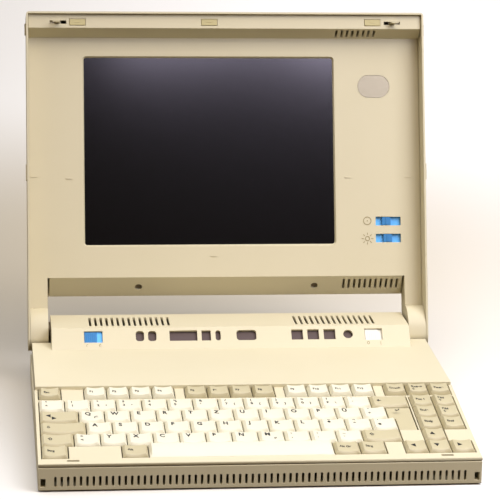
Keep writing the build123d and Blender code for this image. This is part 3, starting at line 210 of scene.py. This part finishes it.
def ride_piece(name, bm, body, materials, nodes=()):
    """Makes the finished mesh an object that rides on a body and stands for its CAD nodes."""
    mesh = bpy.data.meshes.new(name)
    bm.to_mesh(mesh)
    bm.free()
    for material in materials:
        mesh.materials.append(material)
    piece = bpy.data.objects.new(name, mesh)
    bpy.context.scene.collection.objects.link(piece)
    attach(piece, body)
    if nodes:
        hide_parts(*nodes)


def pour(bm, source, place, material_index):
    """Adds a copy of one mesh to another at a place, and gives its faces a material."""
    old_faces = len(bm.faces)
    old_verts = len(bm.verts)
    bm.from_mesh(source)
    bm.verts.ensure_lookup_table()
    bmesh.ops.transform(bm, matrix=place, verts=bm.verts[old_verts:])
    bm.faces.ensure_lookup_table()
    for face in bm.faces[old_faces:]:
        face.material_index = material_index


def keep_mesh(name, bm):
    """Stores a shape that several pieces use."""
    mesh = bpy.data.meshes.new(name)
    bm.to_mesh(mesh)
    bm.free()
    return mesh


def round_edges(bm, radius, sharper_than=35.0):
    """Rounds every edge that turns by more than an angle."""
    sharp = [e for e in bm.edges
             if len(e.link_faces) == 2 and e.calc_face_angle(0) > radians(sharper_than)]
    bmesh.ops.bevel(bm, geom=sharp, offset=radius, offset_type="OFFSET", segments=3, profile=0.5,
                    affect="EDGES", material=-1, clamp_overlap=True)


def pour_block(bm, size, radius, place, material_index):
    """Adds a block with rounded edges, centred on a place."""
    block = bmesh.new()
    bmesh.ops.create_cube(block, size=1.0)
    bmesh.ops.scale(block, vec=size, verts=block.verts)
    round_edges(block, radius)
    shape = keep_mesh("block", block)
    pour(bm, shape, place, material_index)
    bpy.data.meshes.remove(shape)


# Lettering

# Strokes are widened by this share of the letters' size, and letters keep this share of their width
BOLDNESS = 0.042
NARROW = 0.8


def text_mesh(words, size):
    """Flat letters, drawn in millimetres from their own left edge and baseline."""
    curve = bpy.data.curves.new("lettering", "FONT")
    curve.body = words
    curve.size = size
    curve.offset = size * BOLDNESS
    holder = bpy.data.objects.new("lettering", curve)
    mesh = bpy.data.meshes.new_from_object(holder)
    mesh.transform(Matrix.Diagonal((NARROW, 1, 1, 1)))
    bpy.data.objects.remove(holder)
    bpy.data.curves.remove(curve)
    return mesh


def lay_text(bm, words, size, place, material_index):
    """Pours lettering into a piece; the place is a matrix in the piece's own millimetres."""
    mesh = text_mesh(words, size)
    pour(bm, mesh, place, material_index)
    bpy.data.meshes.remove(mesh)


# The shells: the CAD's surfaces with their long edges rounded as the mould left them

# Edges shorter than this stay sharp, and so do those this near the drive's box
LONG_EDGE, DRIVE_MARGIN = 8.0, 0.7
# Facets narrower than this, with turns between them in this range, belong to a barrel or rounded edge
NARROW_FACET, GENTLE_TURNS = 6.0, (radians(1.5), radians(33))


def smooth_curves(bm):
    """Shades the narrow facets of barrels and rounded edges smooth, and leaves flat faces flat."""
    for face in bm.faces:
        turns = [e.calc_face_angle(0) for e in face.edges if len(e.link_faces) == 2]
        gentle = [turn for turn in turns if GENTLE_TURNS[0] < turn < GENTLE_TURNS[1]]
        narrow = min(e.calc_length() for e in face.edges) < NARROW_FACET * MM
        face.smooth = len(face.verts) == 4 and narrow and len(gentle) > 1


def at_drive(edge):
    """Whether an edge is the drive opening's: the strip of wall above it is too thin to round."""
    low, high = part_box("floppy_drive")
    margin = DRIVE_MARGIN * MM
    return all(low[n] - margin < vert.co[n] < high[n] + margin for vert in edge.verts for n in range(3))


def softened(node, body, radius):
    """A merged copy of a CAD shell whose long sharp edges are rounded, by a radius in millimetres."""
    bm = bmesh.new()
    bm.from_mesh(frame["nodes"][node].data)
    bmesh.ops.remove_doubles(bm, verts=bm.verts, dist=0.001 * MM)
    bmesh.ops.dissolve_limit(bm, angle_limit=radians(1), verts=bm.verts, edges=bm.edges)
    long_edges = [e for e in bm.edges if len(e.link_faces) == 2 and e.calc_face_angle(0) > radians(30)
                  and e.calc_length() > LONG_EDGE * MM and not at_drive(e)]
    bmesh.ops.bevel(bm, geom=long_edges, offset=radius * MM, offset_type="OFFSET", segments=3,
                    profile=0.5, affect="EDGES", material=-1, clamp_overlap=False)
    smooth_curves(bm)
    ride_piece(f"{node}_shell", bm, body, [CASE_ABS], [node])


def finish_shells():
    """The four large mouldings of the machine."""
    softened("bottom_case", "base", 0.4)
    softened("top_cover", "base", 0.4)
    softened("lid_back_cover", "lid", 0.35)
    softened("lid_bezel", "lid", 0.35)


# Keys

UNIT, SMALL_UNIT = 19.05, 17.0
KEY_SHOULDER, KEY_FOOT = -0.4, -2.6
KEY_GAP_SIDE, KEY_GAP_FRONT = 0.7, 0.77
TAPER_SIDE, TAPER_FRONT, TAPER_REAR = 1.9, 1.3, 2.6
TOP_SHIFT = (TAPER_FRONT - TAPER_REAR) / 2
DISH = 1.0
EDGE_RADIUS = 0.45
# The space bar's rear half stands this much above its row, and its front half slopes down by this
BAR_LIFT, BAR_DROP = 1.0, 3.0
# A cap's sloping sides are faces over this many square millimetres that point less far up than this
WIDE_FACE, SLOPE_UP = 5.0, 0.8
# Height of each row above the surround: 0 is the function row, 5 the space bar's, then the two blocks
FUNCTION_ROW, NAVIGATION_ROW, ARROW_ROW = 0, 6, 7
ROW_HEIGHT = {FUNCTION_ROW: 3.7, 1: 2.3, 2: 2.3, 3: 2.3, 4: 2.3, 5: 2.4,
              NAVIGATION_ROW: 3.1, ARROW_ROW: 2.7}
FUNCTION_V = 97.2
NAV_U, ARROW_U, WELL_END_U = 278.0, 261.0, 312.0
GROUP_GAP = (WELL_END_U - 17 * SMALL_UNIT) / 3
LETTER_SIZE, PAIR_SIZE, WORD_SIZE, SYMBOL_SIZE = 6.6, 4.6, 4.0, 5.0
# A legend's distance from the top's left edge, the further step of a second or third sign on the
# same key, and how far each baseline lies in front of the top's rear edge
LEGEND_MARGIN, EXTRA_RIGHT, WORD_LEFT = 2.4, 6.4, 0.6
LETTER_LINE, EXTRA_LINE, PAIR_LINES, SYMBOL_LINE = 6.0, 10.8, (4.6, 10.4), 8.6
SYMBOL_RIGHT, SYMBOL_DOWN = 4.0, 3.6
ONE_WORD_LINE, TWO_WORD_LINE, WORD_STEP = 8.0, 6.0, 4.4
LEGEND_LIFT = 0.04


def top_size(width, depth):
    """Width and depth of a keycap's top."""
    return (width - KEY_GAP_SIDE - 2 * TAPER_SIDE, depth - KEY_GAP_FRONT - TAPER_FRONT - TAPER_REAR)


def top_height(x, y, width, depth, height):
    """Height of a keycap's top: hollowed across, or for the space bar sloped down at the front."""
    if width > 4 * UNIT:
        return height + BAR_LIFT - BAR_DROP * max(0.0, 2 * (TOP_SHIFT - y) / depth)
    across = 2 * x / width
    return height - DISH * max(0.0, 1 - across * across)


def key_cap(width, depth, height):
    """One keycap: dished top, tapered sides, rounded edges. Its origin is the cell's middle."""
    top_w, top_d = top_size(width, depth)
    bm = bmesh.new()
    bmesh.ops.create_grid(bm, x_segments=12, y_segments=2, size=0.5)
    bmesh.ops.scale(bm, vec=(top_w, top_d, 1), verts=bm.verts)
    bmesh.ops.translate(bm, vec=(0, TOP_SHIFT, 0), verts=bm.verts)
    for vert in bm.verts:
        vert.co.z = top_height(vert.co.x, vert.co.y, top_w, top_d, height)
    rim = [e for e in bm.edges if e.is_boundary]
    taper = bmesh.ops.extrude_edge_only(bm, edges=rim)["geom"]
    shoulder = [g for g in taper if isinstance(g, bmesh.types.BMVert)]
    bmesh.ops.translate(bm, vec=(0, -TOP_SHIFT, 0), verts=shoulder)
    spread = ((width - KEY_GAP_SIDE) / top_w, (depth - KEY_GAP_FRONT) / top_d, 0)
    bmesh.ops.scale(bm, vec=spread, verts=shoulder)
    bmesh.ops.translate(bm, vec=(0, 0, KEY_SHOULDER), verts=shoulder)
    skirt = bmesh.ops.extrude_edge_only(bm, edges=[e for e in bm.edges if e.is_boundary])["geom"]
    foot = [g for g in skirt if isinstance(g, bmesh.types.BMVert)]
    bmesh.ops.translate(bm, vec=(0, 0, KEY_FOOT - KEY_SHOULDER), verts=foot)
    bmesh.ops.recalc_face_normals(bm, faces=bm.faces)
    round_edges(bm, EDGE_RADIUS, sharper_than=30)
    bmesh.ops.holes_fill(bm, edges=[e for e in bm.edges if e.is_boundary], sides=0)
    for face in bm.faces:
        face.smooth = face.normal.z > SLOPE_UP or face.calc_area() < WIDE_FACE
    return keep_mesh("keycap", bm)


def legend_spots(kind, words):
    """Each sign or line of a legend: its size, its step right of the margin and its baseline."""
    if kind == "letter":
        spots = [(words[0], LETTER_SIZE, 0, LETTER_LINE)]
        spots += [(extra, WORD_SIZE, EXTRA_RIGHT, EXTRA_LINE) for extra in words[1:]]
    elif kind == "pair":
        spots = [(sign, PAIR_SIZE, 0, line) for sign, line in zip(words, PAIR_LINES)]
        spots += [(extra, WORD_SIZE, EXTRA_RIGHT, PAIR_LINES[1]) for extra in words[2:]]
    elif kind == "symbol":
        spots = [(sign, SYMBOL_SIZE, SYMBOL_RIGHT * n, SYMBOL_LINE + SYMBOL_DOWN * n)
                 for n, sign in enumerate(words)]
    else:
        first = ONE_WORD_LINE if len(words) == 1 else TWO_WORD_LINE
        spots = [(word, WORD_SIZE, -WORD_LEFT, first + WORD_STEP * n) for n, word in enumerate(words)]
    return spots


def add_legend(bm, legend, width, depth, height, place):
    """Dyes a key's legend on its top. A legend is its kind and then its signs or lines."""
    if not legend:
        return
    top_w, top_d = top_size(width, depth)
    left = -top_w / 2 + LEGEND_MARGIN
    rear = top_d / 2 + TOP_SHIFT
    kind, *words = legend
    for line, size, right, forward in legend_spots(kind, words):
        old = len(bm.verts)
        lay_text(bm, line, size, Matrix.Translation((left + right, rear - forward, 0)), 1)
        bm.verts.ensure_lookup_table()
        new = bm.verts[old:]
        for vert in new:
            vert.co.z = top_height(vert.co.x, vert.co.y, top_w, top_d, height) + LEGEND_LIFT
        bmesh.ops.transform(bm, matrix=place, verts=new)


def cells(row, first_u, low_v, width, depth, legends):
    """A run of keys side by side: each is its middle, size, row and legend."""
    return [(first_u + (n + 0.5) * width, low_v + depth / 2, width, depth, row, legend)
            for n, legend in enumerate(legends)]


def letters(words):
    """Legends of a run of plain letter keys."""
    return [("letter", *word.split("~")) for word in words.split()]


def pairs(words):
    """Legends with a shifted sign above and a plain one below."""
    return [("pair", *word.split("~")) for word in words.split()]


def unit_row(row, first, legends):
    """A run of full-size keys from a place in key units."""
    return cells(row, first * UNIT, (5 - row) * UNIT, UNIT, UNIT, legends)


def wide_key(row, first, last, legend):
    """One wide key between two places in key units."""
    return cells(row, first * UNIT, (5 - row) * UNIT, (last - first) * UNIT, UNIT, [legend])


def function_block(first_u, words):
    """A run of function-row keys."""
    legends = [("word", *word.split("~")) for word in words.split()]
    return cells(FUNCTION_ROW, first_u, FUNCTION_V, SMALL_UNIT, SMALL_UNIT, legends)


BLOCK_U = [2 * SMALL_UNIT + n * (4 * SMALL_UNIT + GROUP_GAP) for n in range(4)]
NAV_LEGENDS = (("Pos 1", "Bild~↑"), ("Ende", "Bild~↓"), ("Einfg", "Entf"))


def navigation_cells():
    """Two columns of three keys at the right."""
    made = []
    for row, legends in zip((1, 2, 3), NAV_LEGENDS):
        made += cells(NAVIGATION_ROW, NAV_U, (5 - row) * UNIT, SMALL_UNIT, UNIT,
                      [("word", *words.split("~")) for words in legends])
    return made


LIGHT_KEYS = {
    "digit_keys": unit_row(
        1, 0, pairs("°~^ !~1 \"~2~² §~3~³ $~4 %~5 &~6 /~7~{ (~8~[ )~9~] =~0~} ?~ß~\\ `~´")),
    "upper_letter_keys": unit_row(2, 1.5, letters("Q~@ W E R T Z U I O P Ü") + pairs("*~+")),
    "home_letter_keys": unit_row(3, 1.75, letters("A S D F G H J K L Ö Ä") + pairs("'~#")),
    "lower_letter_keys": unit_row(
        4, 1.25, pairs(">~<") + letters("Y X C V B N M~µ") + pairs(";~, :~. _~-")),
    "space_bar": wide_key(5, 4, 11, None),
    "outer_function_keys": function_block(BLOCK_U[0], "F1 F2 F3 F4")
    + function_block(BLOCK_U[2], "F9 F10 F11 F12"),
}
TAN_KEYS = {
    "backspace_key": wide_key(1, 13, 14.5, ("symbol", "←")),
    "tab_key": wide_key(2, 0, 1.5, ("symbol", "◀", "▶")),
    "caps_lock_key": wide_key(3, 0, 1.75, ("symbol", "⇩")),
    "left_shift_key": wide_key(4, 0, 1.25, ("symbol", "⇧")),
    "right_shift_key": wide_key(4, 12.25, 13.75, ("symbol", "⇧")),
    "left_control_key": wide_key(5, 0, 1, ("word", "Strg")),
    "left_alt_key": wide_key(5, 3, 4, ("word", "Alt")),
    "right_alt_key": wide_key(5, 11, 12, ("word", "Alt Gr")),
    "right_control_key": wide_key(5, 12, 13, ("word", "Strg")),
    "escape_key": function_block(0, "Esc"),
    "middle_function_keys": function_block(BLOCK_U[1], "F5 F6 F7 F8"),
    "system_keys": function_block(BLOCK_U[3], "Druck Rollen~⇩ Pause"),
    "navigation_keys": navigation_cells(),
    "arrow_keys": cells(
        ARROW_ROW, ARROW_U, 0, SMALL_UNIT, UNIT, [("symbol", sign) for sign in "◀▼▶"])
    + cells(ARROW_ROW, NAV_U, UNIT, SMALL_UNIT, UNIT, [("symbol", "▲")]),
}


def key_piece(node, key_cells, plastic):
    """All keys of one CAD node, with their legends."""
    bm = bmesh.new()
    shapes = {}
    for u, v, width, depth, row, legend in key_cells:
        size = (width, depth, ROW_HEIGHT[row])
        if size not in shapes:
            shapes[size] = key_cap(*size)
        place = on_surround(u, v)
        pour(bm, shapes[size], place, 0)
        add_legend(bm, legend, *size, place)
    for shape in shapes.values():
        bpy.data.meshes.remove(shape)
    ride_piece(f"{node}_caps", bm, node, [plastic, KEY_INK], [node])


# Half the gaps beside the Enter key and at its ends
ENTER_GAP_SIDE, ENTER_GAP_END = 0.55, 0.4
# Its sign's step to the right in millimetres, and its place from front to rear in key units
ENTER_SIGN_RIGHT, ENTER_SIGN_ROW = 5.0, 3.42


def enter_key():
    """The tall Enter key, wider in its upper half: an outline of six corners, tapered to the top."""
    left, notch = 13.5 * UNIT + ENTER_GAP_SIDE, 13.75 * UNIT + ENTER_GAP_SIDE
    right = 14.5 * UNIT - ENTER_GAP_SIDE
    low, step, high = 2 * UNIT + ENTER_GAP_END, 3 * UNIT + ENTER_GAP_END, 4 * UNIT - ENTER_GAP_END
    outline = [(notch, low), (right, low), (right, high), (left, high), (left, step), (notch, step)]
    height = ROW_HEIGHT[3]
    cap = bmesh.new()
    face = cap.faces.new([cap.verts.new((u, v, KEY_SHOULDER)) for u, v in outline])
    bmesh.ops.inset_region(cap, faces=[face], thickness=TAPER_SIDE, depth=height - KEY_SHOULDER,
                           use_even_offset=True)
    skirt = bmesh.ops.extrude_edge_only(cap, edges=[e for e in cap.edges if e.is_boundary])["geom"]
    foot = [g for g in skirt if isinstance(g, bmesh.types.BMVert)]
    bmesh.ops.translate(cap, vec=(0, 0, KEY_FOOT - KEY_SHOULDER), verts=foot)
    bmesh.ops.recalc_face_normals(cap, faces=cap.faces)
    round_edges(cap, EDGE_RADIUS, sharper_than=30)
    bmesh.ops.holes_fill(cap, edges=[e for e in cap.edges if e.is_boundary], sides=0)
    shape = keep_mesh("enter_cap", cap)
    bm = bmesh.new()
    pour(bm, shape, Matrix.Identity(4), 0)
    bpy.data.meshes.remove(shape)
    sign_place = (left + ENTER_SIGN_RIGHT, ENTER_SIGN_ROW * UNIT, height + LEGEND_LIFT)
    lay_text(bm, "↵", SYMBOL_SIZE, Matrix.Translation(sign_place), 1)
    bmesh.ops.transform(bm, matrix=on_surround(0, 0), verts=bm.verts)
    ride_piece("enter_key_cap", bm, "enter_key", [KEY_TAN, KEY_INK], ["enter_key"])


def finish_keys():
    """Every key, from its own plastic."""
    for node, key_cells in LIGHT_KEYS.items():
        key_piece(node, key_cells, KEY_LIGHT)
    for node, key_cells in TAN_KEYS.items():
        key_piece(node, key_cells, KEY_TAN)
    enter_key()


# Carried-over CAD pieces and their finishes

CAD_FINISHES = {
    CASE_ABS: ["rear_port_door", "floppy_drive"],
    KEY_TAN: ["floppy_eject_button", "left_latch", "right_latch"],
    RUBBER: ["rubber_feet", "rubber_dome_sheet"],
    ZINC_STEEL: ["case_screws", "clock_battery", "rear_connectors", "hinge_brackets", "hinge_clutches"],
    BRONZED_STEEL: ["lid_screws", "hinge_shafts"],
    ALUMINIUM: ["keyboard_base_plate", "hard_disk_drive", "display_frame"],
    BLACK_PLASTIC: ["key_guide_frame", "board_chips", "speaker", "power_inlet", "switch_bodies"],
    BOARD: ["main_board", "inverter_board"],
    BATTERY_WRAP: ["battery_pack"],
    STATUS_FILM: ["status_display"],
    BLUE_ABS: ["contrast_slider", "brightness_slider"],
    PALE_BLUE_ABS: ["slider_tracks"],
    SCREEN_GLASS: ["display_panel"],
    TUBE_GLASS: ["backlight_tube"],
}


def finish_cad_pieces():
    """Gives each CAD piece that stays its own material."""
    for material, names in CAD_FINISHES.items():
        for name in names:
            mesh = frame["nodes"][name].data
            mesh.materials.clear()
            mesh.materials.append(material)


# Small parts

def ring(bm, radius, width):
    """A flat ring, added to a mesh."""
    circle = bmesh.ops.create_circle(bm, cap_ends=False, segments=32, radius=radius)["verts"]
    edges = list({e for v in circle for e in v.link_edges})
    inner = bmesh.ops.extrude_edge_only(bm, edges=edges)["geom"]
    inner_verts = [g for g in inner if isinstance(g, bmesh.types.BMVert)]
    share = (radius - width) / radius
    bmesh.ops.scale(bm, vec=(share, share, 1), verts=inner_verts)


def raise_relief(bm, height):
    """Gives flat marks their height."""
    bmesh.ops.solidify(bm, geom=bm.faces[:], thickness=-height)
    bmesh.ops.recalc_face_normals(bm, faces=bm.faces)


BADGE_X, BADGE_UP, BADGE_W, BADGE_H, BADGE_CORNER = 121.7, 198.2, 26.0, 18.2, 9.0
BADGE_SUNK, BADGE_SLOPE, BADGE_PROUD = 0.2, 0.5, 0.35
RIM_WIDTH, FIELD_SLOPE, FIELD_DEEP = 0.5, 0.3, 0.2


def badge():
    """Bare oblong badge: a brushed plate with a fine raised rim."""
    bm = bmesh.new()
    bmesh.ops.create_grid(bm, x_segments=1, y_segments=1, size=0.5)
    bmesh.ops.scale(bm, vec=(BADGE_W, BADGE_H, 1), verts=bm.verts)
    bmesh.ops.bevel(bm, geom=bm.verts[:], offset=BADGE_CORNER, segments=12, profile=0.5,
                    affect="VERTICES", material=-1)
    bmesh.ops.inset_region(bm, faces=bm.faces[:], thickness=BADGE_SLOPE, depth=BADGE_PROUD)
    top = max(bm.faces, key=lambda f: f.calc_center_median().z)
    bmesh.ops.inset_region(bm, faces=[top], thickness=RIM_WIDTH, depth=0.0)
    top = max((f for f in bm.faces if len(f.verts) > 4), key=lambda f: f.calc_center_median().z)
    bmesh.ops.inset_region(bm, faces=[top], thickness=FIELD_SLOPE, depth=-FIELD_DEEP)
    bmesh.ops.transform(bm, matrix=on_lid_face(BADGE_X, BADGE_UP, -BADGE_SUNK), verts=bm.verts)
    ride_piece("bare_badge", bm, "lid", [BADGE_METAL], ["badge_plate"])


BUMPERS = [(-119.9, 248.2), (-13.7, 248.4), (119.3, 248.6)]
# How far a pad stands out of the strip, and how far the dash on it stands out
PAD_PROUD, DASH_PROUD = 0.3, 0.5
# Sizes of a pad and its dash: across, through the strip, and up
PAD_SIZE, DASH_SIZE = (12.6, 1.25, 4.8), (4.6, 0.4, 0.6)
STRIP_DEPTH, PAD_EDGE = 15.0, 0.15


def bumpers():
    """Soft plugs almost flush with the top strip, each with a moulded dash on its face."""
    bm = bmesh.new()
    for x, up in BUMPERS:
        for size, proud in ((PAD_SIZE, PAD_PROUD), (DASH_SIZE, DASH_PROUD)):
            place = LID @ Matrix.Translation((x, size[1] / 2 - STRIP_DEPTH - proud, up))
            pour_block(bm, size, PAD_EDGE, place, 0)
    ride_piece("top_strip_bumpers", bm, "lid", [BUMPER_PAD], ["lid_bumpers"])


# Slide switches: node, its window's left and right edge, the knob's width and the two plastics
SWITCHES = [("standby_switch", -117.4, -102.9, 9.8, BLUE_ABS, PALE_BLUE_ABS, "blue_plastic"),
            ("power_switch", 106.7, 120.7, 10.6, WHITE_ABS, WHITE_ABS, "white_plastic")]
SWITCH_UP, KNOB_EDGE = 12.1, 0.2
KNOB_CLEAR, KNOB_TOP, KNOB_HEIGHT, KNOB_THICK = 0.35, -1.3, 9.7, 2.2
FLANGE_TOP, FLANGE_MARGIN, FLANGE_THICK = -2.3, 1.2, 1.2
GRIPS, GRIP_PITCH, GRIP_SIDE, GRIP_SHORTER = 5, 1.6, 0.5, 2.4


def slide_switches():
    """Each switch: a knob with fine grip ribs on a paler plate that slides along behind the window."""
    for node, x0, x1, width, plastic, paler, slot in SWITCHES:
        middle = x0 + KNOB_CLEAR + width / 2
        reach = 2 * (x1 - x0 - width) + width + 2 * FLANGE_MARGIN
        flange_height = KNOB_HEIGHT + 2 * FLANGE_MARGIN
        grip = (GRIP_SIDE, KNOB_HEIGHT - GRIP_SHORTER, GRIP_SIDE)
        parts = [((width, KNOB_HEIGHT, KNOB_THICK), 0.0, KNOB_TOP - KNOB_THICK / 2, 0),
                 ((reach, flange_height, FLANGE_THICK), 0.0, FLANGE_TOP - FLANGE_THICK / 2, 1)]
        parts += [(grip, (n - (GRIPS - 1) / 2) * GRIP_PITCH, KNOB_TOP, 0) for n in range(GRIPS)]
        bm = bmesh.new()
        for size, across, height, material_index in parts:
            place = on_panel(middle + across, SWITCH_UP, height)
            pour_block(bm, size, KNOB_EDGE, place, material_index)
        ride_piece(f"{node}_knob", bm, node, [plastic, paler], [node])


CONTRAST_ICON, BRIGHTNESS_ICON = (115.0, 88.2), (115.0, 73.7)
RING_RADIUS, SUN_RADIUS, ICON_LINE, DOT_RADIUS = 3.4, 2.0, 0.6, 0.5
RAYS, RAY_LENGTH, RAY_WIDTH, RAY_MIDDLE = 8, 1.8, 0.55, 3.9
ICON_RELIEF = 0.2


def dotted_ring():
    """A ring with a dot in its middle."""
    part = bmesh.new()
    ring(part, RING_RADIUS, ICON_LINE)
    bmesh.ops.create_circle(part, cap_ends=True, segments=16, radius=DOT_RADIUS)
    return part


def sun():
    """A small ring with rays around it."""
    part = bmesh.new()
    ring(part, SUN_RADIUS, ICON_LINE)
    for n in range(RAYS):
        turn = Matrix.Rotation(n * 2 * pi / RAYS, 3, "Z")
        ray = bmesh.ops.create_grid(part, x_segments=1, y_segments=1, size=0.5)["verts"]
        bmesh.ops.scale(part, vec=(RAY_LENGTH, RAY_WIDTH, 1), verts=ray)
        bmesh.ops.translate(part, vec=(RAY_MIDDLE, 0, 0), verts=ray)
        bmesh.ops.rotate(part, cent=(0, 0, 0), matrix=turn, verts=ray)
    return part


def slider_icons():
    """Ring and sun beside the two sliders, as low relief, coloured darker tan as painted shade of the
    relief.
    """
    bm = bmesh.new()
    for part, place in ((dotted_ring(), CONTRAST_ICON), (sun(), BRIGHTNESS_ICON)):
        raise_relief(part, ICON_RELIEF)
        shape = keep_mesh("icon", part)
        pour(bm, shape, on_lid_face(*place), 0)
        bpy.data.meshes.remove(shape)
    # Painted shade: the relief icons take the darker tan instead of the case's own colour
    ride_piece("slider_icons", bm, "lid", [ICON_PRINT_AND_PAINTED_SHADE])


PANEL_ICONS = [(-114.6, "☾"), (-105.1, "☼"), (108.9, "○"), (119.8, "|")]
PANEL_ICON_SIZE, PANEL_ICON_HALF, PANEL_ICON_UP, PRINT_LIFT = 3.4, 1.3, 2.8, 0.03


def switch_icons():
    """Small printed marks under the two slide switches."""
    bm = bmesh.new()
    for x, sign in PANEL_ICONS:
        place = on_panel(x - PANEL_ICON_HALF, PANEL_ICON_UP, PRINT_LIFT)
        lay_text(bm, sign, PANEL_ICON_SIZE, place, 0)
    ride_piece("switch_icons", bm, "base", [ICON_PRINT_AND_PAINTED_SHADE])


# The studio

FLOOR_HALF = 9.0
# The studio's places are in metres. The floor is grey left of the first and white right of the second:
# painted shade, darker towards the left
GREY_X, WHITE_X = -0.35, 0.25
# The pool of painted shadow on the floor: its middle, and the radii where it is darkest and where it
# ends
SHADE_PLACE, SHADE_CORE, SHADE_REACH = (-0.05, 0.45, 0.0), 0.1, 0.8


def studio_floor():
    """A wide floor. The camera sees it white, with painted shade greyer to the left and a broad painted
    shadow pool behind the machine; other rays meet it dim and warm, so that it throws little light up on
    the machine."""
    made, tree, shader, place = new_material("matt_white_floor")
    tree.nodes.remove(shader)
    across = add(tree, "ShaderNodeSeparateXYZ", {"Vector": place})
    # Painted shade: the floor's colour greys from right to left
    share = add(tree, "ShaderNodeMapRange", {
        "Value": across.outputs["X"], "From Min": GREY_X, "From Max": WHITE_X})
    white = add(tree, "ShaderNodeMix", {
        0: share.outputs["Result"], 6: linear("#cdcac2"), 7: linear("#f2f0ec")}, data_type="RGBA")
    # Painted shadow: the floor darkens in a pool around SHADE_PLACE, behind the machine
    away = add(tree, "ShaderNodeVectorMath", {0: place, 1: SHADE_PLACE}, operation="DISTANCE")
    light = add(tree, "ShaderNodeMapRange", {
        "Value": away.outputs["Value"], "From Min": SHADE_CORE, "From Max": SHADE_REACH},
                interpolation_type="SMOOTHSTEP")
    painted_shadow_pool = add(tree, "ShaderNodeMix", {
        0: light.outputs["Result"], 6: linear("#ccc4b4"), 7: linear("#ffffff")}, data_type="RGBA")
    shaded = add(tree, "ShaderNodeMix", {0: 1.0, 6: white.outputs[2], 7: painted_shadow_pool.outputs[2]},
                 data_type="RGBA", blend_type="MULTIPLY")
    seen = add(tree, "ShaderNodeBsdfDiffuse", {"Color": shaded.outputs[2]})
    bounced = add(tree, "ShaderNodeBsdfDiffuse", {"Color": linear("#4c3f2a")})
    path = add(tree, "ShaderNodeLightPath")
    both = add(tree, "ShaderNodeMixShader", {
        0: path.outputs["Is Camera Ray"], 1: bounced.outputs[0], 2: seen.outputs[0]})
    tree.links.new(both.outputs[0], tree.nodes["Material Output"].inputs["Surface"])
    bm = bmesh.new()
    bmesh.ops.create_grid(bm, x_segments=1, y_segments=1, size=FLOOR_HALF)
    mesh = keep_mesh("floor", bm)
    mesh.materials.append(made)
    floor = bpy.data.objects.new("floor", mesh)
    bpy.context.scene.collection.objects.link(floor)


def softbox(name, position, target, size, power, colour):
    """A rectangular soft light, turned towards a target."""
    lamp = bpy.data.lights.new(name, "AREA")
    lamp.shape = "RECTANGLE"
    lamp.size, lamp.size_y = size
    lamp.energy = power
    lamp.color = linear(colour)[:3]
    light = bpy.data.objects.new(name, lamp)
    light.location = position
    light.rotation_euler = (Vector(target) - Vector(position)).to_track_quat("-Z", "Y").to_euler()
    bpy.context.scene.collection.objects.link(light)
    return light


def far_light(name, elevation, azimuth, strength, spread, colour):
    """Even light from far off, at an elevation and so far to the right, with its spread in degrees."""
    lamp = bpy.data.lights.new(name, "SUN")
    lamp.energy = strength
    lamp.angle = radians(spread)
    lamp.color = linear(colour)[:3]
    light = bpy.data.objects.new(name, lamp)
    turn = Matrix.Rotation(radians(azimuth), 4, "Z") @ Matrix.Rotation(radians(90 - elevation), 4, "X")
    light.matrix_world = turn
    bpy.context.scene.collection.objects.link(light)


def studio_light():
    """A cool light overhead and slightly behind, a warmer one from the camera's side, two from the left,
    a near one at the right, and two cards above the camera that only glossy faces mirror."""
    far_light("overhead", 98, 0, 1.9, 60, "#d4e3ff")
    far_light("camera_side", 69, 0, 1.33, 45, "#ffe9c8")
    far_light("left_side", 38, -85, 0.75, 50, "#f4f5ff")
    far_light("left_and_rear", 20, -145, 1.1, 60, "#fff8ee")
    softbox("right_side", (0.75, -0.6, 1.1), (0.1, 0, 0.15), (0.9, 0.9), 20.5, "#f4f5ff")
    for name, height, size, power in (("card_over_camera", 2.13, (1.7, 0.8), 42.0),
                                      ("card_at_right", 1.95, (0.8, 0.6), 14.0)):
        card = softbox(name, (0.85, -2.6, height), (0, 0, 0.2), size, power, "#e4daf6")
        card.visible_diffuse = False
    world = bpy.data.worlds.new("room")
    world.use_nodes = True
    bpy.context.scene.world = world
    room = world.node_tree.nodes["Background"]
    room.inputs["Color"].default_value = linear("#ffe2b8")
    room.inputs["Strength"].default_value = 0.1


# The camera, at the photograph's viewpoint: solved from the case corners, key rows and lid corners

EYE = (-0.1970, -1.7798, 0.6140)
RIGHT, UP, BACK = (0.9939, -0.1079, 0.0228), (0.0063, 0.2623, 0.9650), (-0.1101, -0.9589, 0.2614)
FOCAL_PIXELS, FRAME_PIXELS, SENSOR = 2418.7, 500, 36.0


def camera():
    """The camera of the photograph."""
    lens = bpy.data.cameras.new("camera")
    lens.sensor_width = SENSOR
    lens.lens = FOCAL_PIXELS * SENSOR / FRAME_PIXELS
    lens.clip_end = 50
    eye = bpy.data.objects.new("camera", lens)
    turn = Matrix((RIGHT, UP, BACK)).transposed().normalized()
    eye.matrix_world = Matrix.Translation(EYE) @ turn.to_4x4()
    bpy.context.scene.collection.objects.link(eye)
    bpy.context.scene.camera = eye


camera()
studio_floor()
studio_light()
bpy.context.scene.view_settings.view_transform = "Standard"
finish_shells()
finish_keys()
finish_cad_pieces()
badge()
bumpers()
slide_switches()
slider_icons()
switch_icons()
